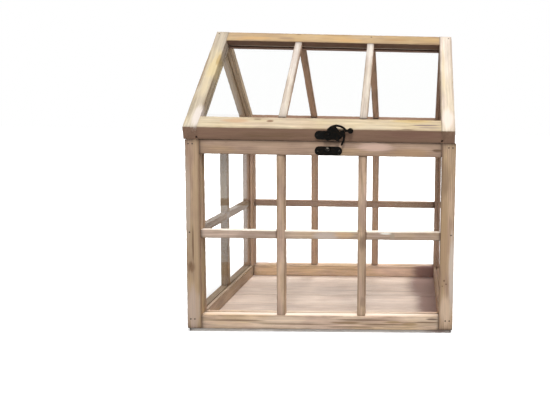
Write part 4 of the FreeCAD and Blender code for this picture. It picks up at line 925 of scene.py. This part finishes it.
for end, sign in ENDS:
    flat_end = sign * (UNDER_RIDGE - LID_BASE) / math.tan(SLOPE)
    eave = [(sign * EAVE_OUT, EAVE_TOP, 0.5 * MM), on_slope(sign, EAVE_RAIL, 0, ARRIS)]
    eave += [on_slope(sign, up, down) for down, up, radius in
             groove(EAVE_RAIL, EAVE_RAIL - GROOVE_DEPTH, LID_LIP)]
    # The foot of the band gets the painted shade of the gap between lid and body.
    eave += [on_slope(sign, EAVE_RAIL, LID_THICK, ARRIS), (flat_end, LID_BASE, 0),
             (sign * BAND_FOOT, LID_BASE, 0.1 * MM, LID_FOOT_SHADE)]
    foot = SLOPE_RUN - RIDGE_RAIL
    ridge = [(0, RIDGE, 0.4 * MM), on_slope(sign, foot, 0, ARRIS)]
    ridge += [on_slope(sign, up, down) for down, up, radius in
              groove(foot, foot + GROOVE_DEPTH, LID_LIP)]
    ridge += [on_slope(sign, foot, LID_THICK), (0, UNDER_RIDGE, 0)]
    for count, (kind, outline, under) in enumerate((("eave", eave, BAND_FACE),
                                                    ("ridge", ridge, RIDGE_INNER))):
        node = "%s_rail_%s" % (kind, end)
        low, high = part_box(node)
        seed = 90 + 2 * (sign > 0) + count
        rail = stock(node + "_limed", counter_clockwise(outline), level(low.x - BUTT_IN),
                     level(high.x + BUTT_IN), (ORIGIN, Y, Z, X), seed, edge=STILE_EDGE,
                     bare=below_slope(sign), end_dirt_and_shade=LID_END_DIRT_AND_SHADE)
        wood = limed_wood(node + " wood", "X", seed + 100, bare_wood=under,
                          stains_and_painted_light=LONG_STAINS.get(node, ()), **LID_TONES[kind])
        fit(rail, node, "lid", wood)

# Roof bars. Thin softwood bars over the roof panes, from the eave rail to the ridge rail, butted
# against both. The lime was brushed on their tops, and their sides stayed brown.

ROOF_BAR_THICK = 6 * MM

for end, sign in ENDS:
    for side, side_sign in SIDES:
        node = "roof_bar_%s_%s" % (end, side)
        low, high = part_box(node)
        seed = 95 + 2 * (sign > 0) + (side_sign > 0)
        bar = stock(node + "_limed", square_stock((low.x, 0), (high.x, ROOF_BAR_THICK), BAR_ARRIS),
                    level(EAVE_RAIL - BUTT_IN), level(SLOPE_RUN - RIDGE_RAIL + BUTT_IN),
                    slope_lay(sign), seed, bare=unpainted, off=BAR_FULL)
        wood = limed_wood(node + " wood", SLOPE_TURNS[sign], seed + 100,
                          bare_wood=INNER_FACE, **LID_TONES["bar"])
        fit(bar, node, "lid", wood)

# Gable ties. Rails that close the two end frames of the lid at the bottom, cut to the slope of
# the stiles' undersides, with a groove in the top for the gable pane.


def under_stile(sign):
    """Where the tie meets the undersides of the stiles, at each height."""
    return lambda u, v: sign * (UNDER_RIDGE - v) / math.tan(SLOPE)


for side, side_sign in SIDES:
    node = "gable_tie_" + side
    low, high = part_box(node)
    outer = high.x if side_sign > 0 else low.x
    steps = [(0, low.z, ARRIS), (STILE, low.z, ARRIS), (STILE, high.z, ARRIS)]
    steps = steps + groove(high.z, high.z - GROOVE_DEPTH)[::-1] + [(0, high.z, ARRIS)]
    corners = counter_clockwise([(outer - side_sign * u, v, r) for u, v, r in steps])
    seed = 99 + (side_sign > 0)
    tie = stock(node + "_limed", corners, under_stile(-1), under_stile(1), (ORIGIN, X, Z, Y), seed)
    fit(tie, node, "lid", limed_wood(node + " wood", "Y", seed + 100, **REAR_WOOD))

# Brads. Wire nails driven flush from outside and set in the lime, dull and a little rusty. The
# heads of the CAD nodes stay and get their surface here.


def metal(name, colour, wear_and_glint, metallic, roughness, specular, wear_and_glint_amount, size=900.0):
    """Dark iron with worn patches of a second colour, `size` of them to a metre; on the rubbed iron
    the patches are partly painted glints.
    """
    material, wiring, surface = blank_finish(name)
    place = wiring.add("ShaderNodeTexCoord").outputs["Object"]
    patch = wiring.noise(place, size, 3.0, 0.6)
    mottle = wiring.noise(place, size * 3.2, 2.0, 0.6)
    amount = wiring.times(wiring.ramp(patch, 0.50, 0.66), wear_and_glint_amount)
    dull = wiring.ramp(mottle, 0.3, 0.7, roughness - 0.08, roughness + 0.12)
    relief = wiring.add("ShaderNodeBump", {"Height": mottle, "Strength": 0.25, "Distance": 0.1 * MM})
    wiring.join(wiring.mix(amount, colour, wear_and_glint), surface.inputs["Base Color"])
    wiring.join(dull, surface.inputs["Roughness"])
    wiring.join(relief.outputs[0], surface.inputs["Normal"])
    wiring.join(metallic, surface.inputs["Metallic"])
    wiring.join(specular, surface.inputs["Specular IOR Level"])
    return material


brad_steel = metal("brad steel", (0.085, 0.068, 0.055), (0.16, 0.085, 0.04), 0.35, 0.55, 0.3, 0.7)
for node in ("body_brads", "lid_brads"):
    coat_node(node, brad_steel)

# Latch plates. Thin cast strips with round ends and rolled edges, lacquered black. The upper one
# leans with the band of the lid, the lower one hangs on the top rail.

black_iron = metal("black iron", (0.0022, 0.0020, 0.0016), (0.034, 0.020, 0.009), 0.0, 0.20, 0.05,
                   0.35, 420.0)
RIM_KEPT_OFF = 0.12         # of the spacing: no point of the grid lies nearer the outline
TRIMS = 6                   # rounds in which cells of rim points are dropped
MOVES = 4                   # steps that take a rim point to the outline
STRIDE = 0.8                # of what is left, at each step
CAST_UNEVEN = 0.05          # of the half thickness
CAST_WAVE = 4 * MM


def cast_sheet(distance, box, half, rolled, spacing):
    """A flat casting of any outline, as points and faces.

    distance(x, y) is negative inside the outline. Points of a grid are kept where it is negative,
    cells with nothing but rim points are dropped, and the rim points are moved out to the outline.
    The two sheets meet there: the half thickness grows from nothing at the rim to its full size
    in a quarter ellipse as wide as `rolled`, less a slight unevenness of the cast face.
    """
    x0, y0, x1, y1 = box
    x, y = np.meshgrid(np.arange(x0, x1 + spacing, spacing), np.arange(y0, y1 + spacing, spacing),
                       indexing="ij")
    inside = distance(x, y) < -RIM_KEPT_OFF * spacing
    cell = inside[:-1, :-1] & inside[1:, :-1] & inside[1:, 1:] & inside[:-1, 1:]
    for trim in range(TRIMS):
        touched = np.zeros((4,) + x.shape, bool)
        touched[0, :-1, :-1], touched[1, 1:, :-1] = cell, cell
        touched[2, 1:, 1:], touched[3, :-1, 1:] = cell, cell
        used = touched.any(0)
        rim = used & ~touched.all(0)
        cell = cell & ~(rim[:-1, :-1] & rim[1:, :-1] & rim[1:, 1:] & rim[:-1, 1:])
    tiny = 0.02 * MM
    for step in range(MOVES):
        here = distance(x, y)
        slope_x = (distance(x + tiny, y) - distance(x - tiny, y)) / (2 * tiny)
        slope_y = (distance(x, y + tiny) - distance(x, y - tiny)) / (2 * tiny)
        x = np.where(rim, x - STRIDE * here * slope_x, x)
        y = np.where(rim, y - STRIDE * here * slope_y, y)
    depth = np.clip(-distance(x, y) / rolled, 0, 1)
    z = half * np.sqrt(1 - (1 - depth) ** 2)
    z = z * (1 - CAST_UNEVEN * ripple(7, x, y, CAST_WAVE) * depth)
    z = np.where(rim, 0.0, z)
    front = np.full(x.shape, -1)
    front[used] = np.arange(used.sum())
    back = front.copy()
    back[used & ~rim] = used.sum() + np.arange((used & ~rim).sum())
    i, j = np.argwhere(cell).T
    upper = np.stack([front[i, j], front[i + 1, j], front[i + 1, j + 1], front[i, j + 1]], 1)
    lower = np.stack([back[i, j], back[i, j + 1], back[i + 1, j + 1], back[i + 1, j]], 1)
    points = np.concatenate([np.stack([x[used], y[used], z[used]], 1),
                             np.stack([x[used & ~rim], y[used & ~rim], -z[used & ~rim]], 1)])
    return points, np.concatenate([upper, lower])


def placed(points, origin, up_way, out_way):
    """Flat points stood up in space, their X along the front."""
    return np.asarray(origin) + points @ np.array([X, up_way, out_way])


PLATE_LONG = 38.4 * MM
PLATE_HIGH = 12.6 * MM
PLATE_THICK = 1.2 * MM
PLATE_ROLL = 0.6 * MM
LATCH_X = 10 * MM
FRONT = -133 * MM


def strip_distance(x, y):
    """Distance to the outline of a strip with round ends."""
    reach = (PLATE_LONG - PLATE_HIGH) / 2
    return np.hypot(np.maximum(np.abs(x) - reach, 0), y) - PLATE_HIGH / 2


keeper_low, keeper_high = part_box("keeper_plate")
band_lean = EAVE_OUT - BAND_FOOT
band_long = math.hypot(band_lean, BAND_HEIGHT)
BAND_UP = np.array([0, -band_lean, BAND_HEIGHT]) / band_long
BAND_OUT = np.array([0, -BAND_HEIGHT, -band_lean]) / band_long
band_middle = np.array([LATCH_X, -(EAVE_OUT + BAND_FOOT) / 2, LID_BASE + BAND_HEIGHT / 2])
strip_box = (-PLATE_LONG / 2, -PLATE_HIGH / 2, PLATE_LONG / 2, PLATE_HIGH / 2)
strip_points, strip_faces = cast_sheet(strip_distance, strip_box, PLATE_THICK / 2, PLATE_ROLL,
                                       0.25 * MM)
lower_middle = (LATCH_X, FRONT - PLATE_THICK / 2, (keeper_low.z + keeper_high.z) / 2)
for node, body, middle, up_way, out_way in (
        ("keeper_plate", "body", lower_middle, Z, -Y),
        ("latch_plate", "lid", band_middle + BAND_OUT * PLATE_THICK / 2, BAND_UP, BAND_OUT)):
    plate = mesh_piece(node + "_cast", placed(strip_points, middle, up_way, out_way),
                       strip_faces.tolist(), crease=60)
    fit(plate, node, body, black_iron)

# Round fittings of the latch: the domed peg, the rivet of the hook on its collar, and the small
# domed pins of the plates. All turned and lacquered with the plates; the peg and the pins keep
# pale rubbed patches, partly worn metal, partly painted glints.


def lathe(profile, origin, axis, segments=40, first=0):
    """A profile of (radius, height) turned about an axis square to X, closed at both ends.

    Returns points and faces, with the first point counted as `first`.
    """
    across = np.cross(axis, X)
    across /= np.linalg.norm(across)
    beside = np.cross(axis, across)
    angle = np.arange(segments) * 2 * math.pi / segments
    radius, height = np.array(profile, float).T
    around = np.outer(np.cos(angle), across) + np.outer(np.sin(angle), beside)
    points = np.asarray(origin) + radius[:, None, None] * around + height[:, None, None] * axis
    index = first + np.arange(len(radius) * segments).reshape(len(radius), segments)
    beside = np.roll(index, -1, 1)
    quads = np.stack([index[:-1], beside[:-1], beside[1:], index[1:]], 2).reshape(-1, 4).tolist()
    return points.reshape(-1, 3), quads + [index[0][::-1].tolist(), index[-1].tolist()]


def dome(radius, low, high, flat=0.25, steps=8):
    """Profile of a domed head: a short upright rim and then a quarter ellipse."""
    turn = np.linspace(0, math.pi / 2 * 0.97, steps)
    rim = low + (high - low) * flat
    rise = rim + (high - rim) * np.sin(turn)
    return [(radius * 0.92, low), (radius, low + (rim - low) * 0.5)] + list(
        zip(radius * np.cos(turn), rise))


# Near-black iron with pale rubbed patches, partly worn metal, partly painted glints.
rubbed_iron_with_painted_glints = metal("rubbed iron", (0.008, 0.007, 0.006), (0.24, 0.21, 0.17), 0.5, 0.30, 0.12, 0.8,
                    460.0)
HOOK_BACK = 3.4 * MM        # from the front of the body to the back of the hook
HOOK_THICK = 2.2 * MM
PIVOT_Z = LID_BASE + 8.1 * MM
PEG_NECK = 2 * MM
PEG_HEAD = 3 * MM
peg_low, peg_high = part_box("keeper_peg")
peg_z = (peg_low.z + peg_high.z) / 2
peg_profile = [(PEG_NECK / 2, 0.2 * MM), (PEG_NECK, PLATE_THICK * 0.9), (PEG_NECK, 5.9 * MM)]
peg_profile = peg_profile + dome(PEG_HEAD, 5.95 * MM, 7.5 * MM)
peg = mesh_piece("keeper_peg_turned", *lathe(peg_profile, (LATCH_X, FRONT, peg_z), -Y))
fit(peg, "keeper_peg", "body", rubbed_iron_with_painted_glints)

RIVET_SHANK = 1.2 * MM
RIVET_COLLAR = 2.5 * MM
RIVET_HEAD = 3.2 * MM
rivet_profile = [(RIVET_SHANK, -2 * MM), (RIVET_SHANK, 2.0 * MM), (RIVET_COLLAR, 2.1 * MM),
                 (RIVET_COLLAR, 3.3 * MM), (RIVET_SHANK, 3.3 * MM), (RIVET_SHANK, 5.68 * MM)]
rivet_profile = rivet_profile + dome(RIVET_HEAD, 5.7 * MM, 7 * MM)
rivet = mesh_piece("latch_rivet_turned", *lathe(rivet_profile, (LATCH_X, FRONT, PIVOT_Z), -Y))
fit(rivet, "latch_rivet", "lid", black_iron)

PIN_PLACE = 15.2 * MM       # either side of the middle of a plate
PIN_SHANK = 0.7 * MM
PIN_HEAD = 1.3 * MM
PIN_SEGMENTS = 24
pin_profile = [(PIN_SHANK, -2 * MM), (PIN_SHANK, -0.01 * MM)] + dome(PIN_HEAD, 0, 0.7 * MM, 0.1)
for node, body, middle, out_way in (
        ("keeper_pins", "body", (LATCH_X, FRONT - PLATE_THICK, lower_middle[2]), -Y),
        ("latch_plate_pins", "lid", band_middle + BAND_OUT * PLATE_THICK, BAND_OUT)):
    left, right = [lathe(pin_profile, np.add(middle, (side * PIN_PLACE, 0, 0)), out_way,
                         PIN_SEGMENTS, first)
                   for side, first in ((-1, 0), (1, len(pin_profile) * PIN_SEGMENTS))]
    pins = mesh_piece(node + "_turned", np.concatenate([left[0], right[0]]), left[1] + right[1])
    fit(pins, node, body, rubbed_iron_with_painted_glints)

# Hook of the latch. A flat casting that turns on the rivet: a cheek with a curved slot for the
# peg, a horn that rises over it and ends in a round thumb piece. Its sizes are in millimetres and
# degrees about its pivot.

EYE = 6.7                   # radius of the round about the rivet
CHEEK = 16.65               # reach of the slice between the rivet and the slot
CHEEK_SPAN = (-30, 50)
JAW_ROOT = 23.95            # reach of the slice that the jaw grows from
JAW_ROOT_SPAN = (-10, 22)
JAW_REACH, JAW_HALF = 22.6, 1.35            # middle of the jaw's ring, and half its width
JAW_SPAN = (-33, 5)
HORN_CENTRE = (12.3, -1.1)
HORN_REACH, HORN_HALF = 15.3, 1.6           # the same for the horn, about its own centre
HORN_SPAN = (34, 148)
HORN_ROOT = 16.9            # reach of the slice that the horn grows from
HORN_ROOT_SPAN = (92, 148)
THUMB_OUT, THUMB = 6.2, 4   # length of the stem, and radius of the thumb piece
SLOT_REACH, SLOT_HALF = 18.95, 2.3          # middle of the slot, and half its width
SLOT_END = -10
MELT = 0.35                 # width over which two forms of the casting run together


def wedge(x, y, low, high):
    """Distance outside a slice between two angles in degrees, less than half a turn apart."""
    low, high = math.radians(low), math.radians(high)
    return np.maximum(math.sin(low) * x - math.cos(low) * y, -math.sin(high) * x + math.cos(high) * y)


def at_angle(centre, reach, angle):
    """A point at a distance and an angle in degrees from a centre."""
    angle = math.radians(angle)
    return centre[0] + reach * math.cos(angle), centre[1] + reach * math.sin(angle)


def hook_distance(x, y):
    """Distance to the outline of the hook, in metres about its pivot.

    The soft least of nine distances: the eye, the cheek, the root of the jaw, the jaw as a part of
    a ring, its round end, the horn as a part of a ring, its root, its stem and the thumb piece.
    The round end of the slot is then taken away.
    """
    x, y = x / MM, y / MM
    spread = np.hypot(x, y)
    horn_x, horn_y = x - HORN_CENTRE[0], y - HORN_CENTRE[1]
    horn_spread = np.hypot(horn_x, horn_y)
    tip_x, tip_y = at_angle((0, 0), JAW_REACH, JAW_SPAN[0])
    stem_x, stem_y = at_angle(HORN_CENTRE, HORN_REACH, HORN_SPAN[0])
    slot_x, slot_y = at_angle((0, 0), SLOT_REACH, SLOT_END)
    stem = np.maximum(np.abs(x - stem_x - THUMB_OUT / 2) - THUMB_OUT / 2, 0)
    outline, *others = [
        spread - EYE,
        np.maximum(spread - CHEEK, wedge(x, y, *CHEEK_SPAN)),
        np.maximum(spread - JAW_ROOT, wedge(x, y, *JAW_ROOT_SPAN)),
        np.maximum(np.abs(spread - JAW_REACH) - JAW_HALF, wedge(x, y, *JAW_SPAN)),
        np.hypot(x - tip_x, y - tip_y) - JAW_HALF,
        np.maximum(np.abs(horn_spread - HORN_REACH) - HORN_HALF, wedge(horn_x, horn_y, *HORN_SPAN)),
        np.maximum(horn_spread - HORN_ROOT, wedge(horn_x, horn_y, *HORN_ROOT_SPAN)),
        np.hypot(stem, y - stem_y) - HORN_HALF,
        np.hypot(x - stem_x - THUMB_OUT, y - stem_y) - THUMB,
    ]
    for shape in others:
        near = np.clip(0.5 + 0.5 * (shape - outline) / MELT, 0, 1)
        outline = shape + (outline - shape) * near - MELT * near * (1 - near)
    slot_end = np.hypot(x - slot_x, y - slot_y) - SLOT_HALF
    return np.maximum(outline, -slot_end) * MM


hook_low, hook_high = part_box("latch_hook")
hook_box = (hook_low.x - LATCH_X, hook_low.z - PIVOT_Z, hook_high.x - LATCH_X, hook_high.z - PIVOT_Z)
hook_points, hook_faces = cast_sheet(hook_distance, hook_box, HOOK_THICK / 2, 1.3 * MM, 0.22 * MM)
hook_middle = (LATCH_X, FRONT - HOOK_BACK - HOOK_THICK / 2, PIVOT_Z)
hook = mesh_piece("latch_hook_cast", placed(hook_points, hook_middle, Z, -Y), hook_faces.tolist(),
                  crease=60)
fit(hook, "latch_hook", "hook", black_iron)

# Hinges at the rear, two small butt hinges of pressed steel in dark paint, with plain screws. Each
# piece is a copy of its CAD node with its burrs taken off, so the edges catch a little light.

BURR = 0.15 * MM
SHARP_EDGE = 0.7            # radians between the two faces
hinge_paint = metal("hinge paint", (0.035, 0.030, 0.026), (0.12, 0.08, 0.05), 0.4, 0.42, 0.45, 0.5)
screw_steel = metal("screw steel", (0.20, 0.17, 0.14), (0.10, 0.06, 0.035), 0.7, 0.40, 0.5, 0.6)


def deburred(node, name):
    """A copy of a CAD node: its loose triangles joined up, and its sharp edges bevelled."""
    nearly_flat = math.radians(1)
    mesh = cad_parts[node].data.copy()
    mesh.name = name
    solid = bmesh.new()
    solid.from_mesh(mesh)
    bmesh.ops.remove_doubles(solid, verts=solid.verts, dist=0.001 * MM)
    bmesh.ops.dissolve_limit(solid, angle_limit=nearly_flat, verts=solid.verts, edges=solid.edges)
    sharp = [edge for edge in solid.edges
             if edge.is_manifold and edge.calc_face_angle() > SHARP_EDGE]
    bmesh.ops.bevel(solid, geom=sharp, offset=BURR, segments=2, profile=0.5, affect="EDGES",
                    clamp_overlap=True)
    for face in solid.faces:
        face.smooth = True
    solid.to_mesh(mesh)
    solid.free()
    mesh.set_sharp_from_angle(angle=math.radians(40))
    mesh.materials.clear()
    piece = bpy.data.objects.new(name, mesh)
    bpy.context.scene.collection.objects.link(piece)
    return piece


for node, body, paint in (
        ("hinge_base_leaves", "body", hinge_paint), ("hinge_lid_leaves", "lid", hinge_paint),
        ("hinge_pins", "body", screw_steel), ("hinge_base_screws", "body", screw_steel),
        ("hinge_lid_screws", "lid", screw_steel)):
    fit(deburred(node, node + "_pressed"), node, body, paint)

# The studio: a white floor that keeps a soft shadow, a white surround, a large soft lamp above
# the camera and a weaker one behind the greenhouse.

FLOOR_REACH = 6.0
FLOOR_DROP = 0.3 * MM       # below the underside of the boards
FLOOR_WHITE = 0.86          # as the camera sees it
FLOOR_BOUNCE = 0.38         # as the wood sees it


def sees_white(wiring):
    """One for a ray that finds the white studio: from the camera, mirrored or through glass."""
    rays = wiring.add("ShaderNodeLightPath").outputs
    seen = wiring.larger(rays["Is Camera Ray"], rays["Is Transmission Ray"])
    return wiring.larger(seen, rays["Is Glossy Ray"])


corner = np.array([(-1, -1, 0), (1, -1, 0), (1, 1, 0), (-1, 1, 0)]) * FLOOR_REACH
ground_mesh = bpy.data.meshes.new("studio_floor")
ground_mesh.from_pydata(corner.tolist(), [], [(0, 1, 2, 3)])
ground = bpy.data.objects.new("studio_floor", ground_mesh)
ground.location.z = -FLOOR_DROP
bpy.context.scene.collection.objects.link(ground)
paper, sheet, matt = blank_finish("studio paper")
sheet.join(0.9, matt.inputs["Roughness"])
sheet.join(0.0, matt.inputs["Specular IOR Level"])
shown = sees_white(sheet)
bounce = sheet.plus(FLOOR_BOUNCE, sheet.times(shown, FLOOR_WHITE - FLOOR_BOUNCE))
sheet.join(sheet.grey(bounce), matt.inputs["Base Color"])
away = sheet.vector("LENGTH", sheet.add("ShaderNodeTexCoord").outputs["Object"])
glow = sheet.times(shown, sheet.ramp(away, 0.3, 0.9, 0.35, 1.0))
lift = sheet.add("ShaderNodeEmission", {"Color": (1, 1, 1), "Strength": glow})
both = sheet.add("ShaderNodeAddShader", {0: matt.outputs[0], 1: lift.outputs[0]})
sheet.join(both.outputs[0], paper.node_tree.nodes["Material Output"].inputs["Surface"])
ground_mesh.materials.append(paper)

world = bpy.data.worlds.new("studio surround")
bpy.context.scene.world = world
world.use_nodes = True
sky = Wiring(world.node_tree)
white = sees_white(sky)
direction = sky.add("ShaderNodeTexCoord").outputs["Generated"]
upness = sky.add("ShaderNodeSeparateXYZ", {0: direction}).outputs[2]
dome_light = sky.ramp(upness, -0.1, 0.9, 0.17, 0.70)
strength = sky.plus(white, sky.times(sky.minus(1.0, white), dome_light))
surround = world.node_tree.nodes["Background"]
sky.join((1, 1, 1), surround.inputs["Color"])
sky.join(strength, surround.inputs["Strength"])


def lamp(name, place, target, size, power, mirrored):
    """A square soft lamp that looks at the target, and may show in shiny surfaces."""
    light = bpy.data.lights.new(name, "AREA")
    light.shape = "SQUARE"
    light.size = size
    light.energy = power
    holder = bpy.data.objects.new(name, light)
    holder.location = place
    holder.rotation_euler = (Vector(target) - Vector(place)).to_track_quat("-Z", "Y").to_euler()
    holder.visible_glossy = mirrored
    bpy.context.scene.collection.objects.link(holder)


lamp("key_lamp", (0.312, -1.6, 2.72), (0, 0, 0.2), 0.7, 60, True)
lamp("rear_lamp", (0.2, 1.2, 2.4), (0, 0, 0.1), 0.7, 36, False)

# The camera, where the photographer stood: a little right of the middle and above the eaves. Its
# place, its turns and its lens come from a fit to the corners seen in the photo.

CAMERA_PLACE = (0.13217, -0.88319, 0.32325)
CAMERA_PITCH = 4.426        # degrees below the horizon
CAMERA_YAW = 1.463          # degrees towards +X
CAMERA_ROLL = 1.063         # degrees
SENSOR_HIGH = 24.0          # millimetres, for the height of the picture
SENSOR_WIDE = 24.7
FOCAL_PIXELS = 533.291
FRAME_HEIGHT = 412
SHIFT_PIXELS = (-154, -55)  # from the middle of the lens to the middle of the picture

yaw, pitch, roll = [math.radians(a) for a in (CAMERA_YAW, CAMERA_PITCH, CAMERA_ROLL)]
forward = Vector((math.sin(yaw) * math.cos(pitch), math.cos(yaw) * math.cos(pitch), -math.sin(pitch)))
level_right = Vector((math.cos(yaw), -math.sin(yaw), 0))
level_up = level_right.cross(forward)
right = math.cos(roll) * level_right + math.sin(roll) * level_up
upward = -math.sin(roll) * level_right + math.cos(roll) * level_up
view = bpy.data.cameras.new("photo_view")
view.sensor_fit = "VERTICAL"
view.sensor_height = SENSOR_HIGH
view.sensor_width = SENSOR_WIDE
view.lens = FOCAL_PIXELS * SENSOR_HIGH / FRAME_HEIGHT
view.shift_x, view.shift_y = [pixels / FRAME_HEIGHT for pixels in SHIFT_PIXELS]
camera = bpy.data.objects.new("photo_view", view)
camera.matrix_world = Matrix.Translation(CAMERA_PLACE) @ Matrix(
    (right, upward, -forward)).transposed().to_4x4()
bpy.context.scene.collection.objects.link(camera)
bpy.context.scene.camera = camera
bpy.context.scene.view_settings.view_transform = "Standard"
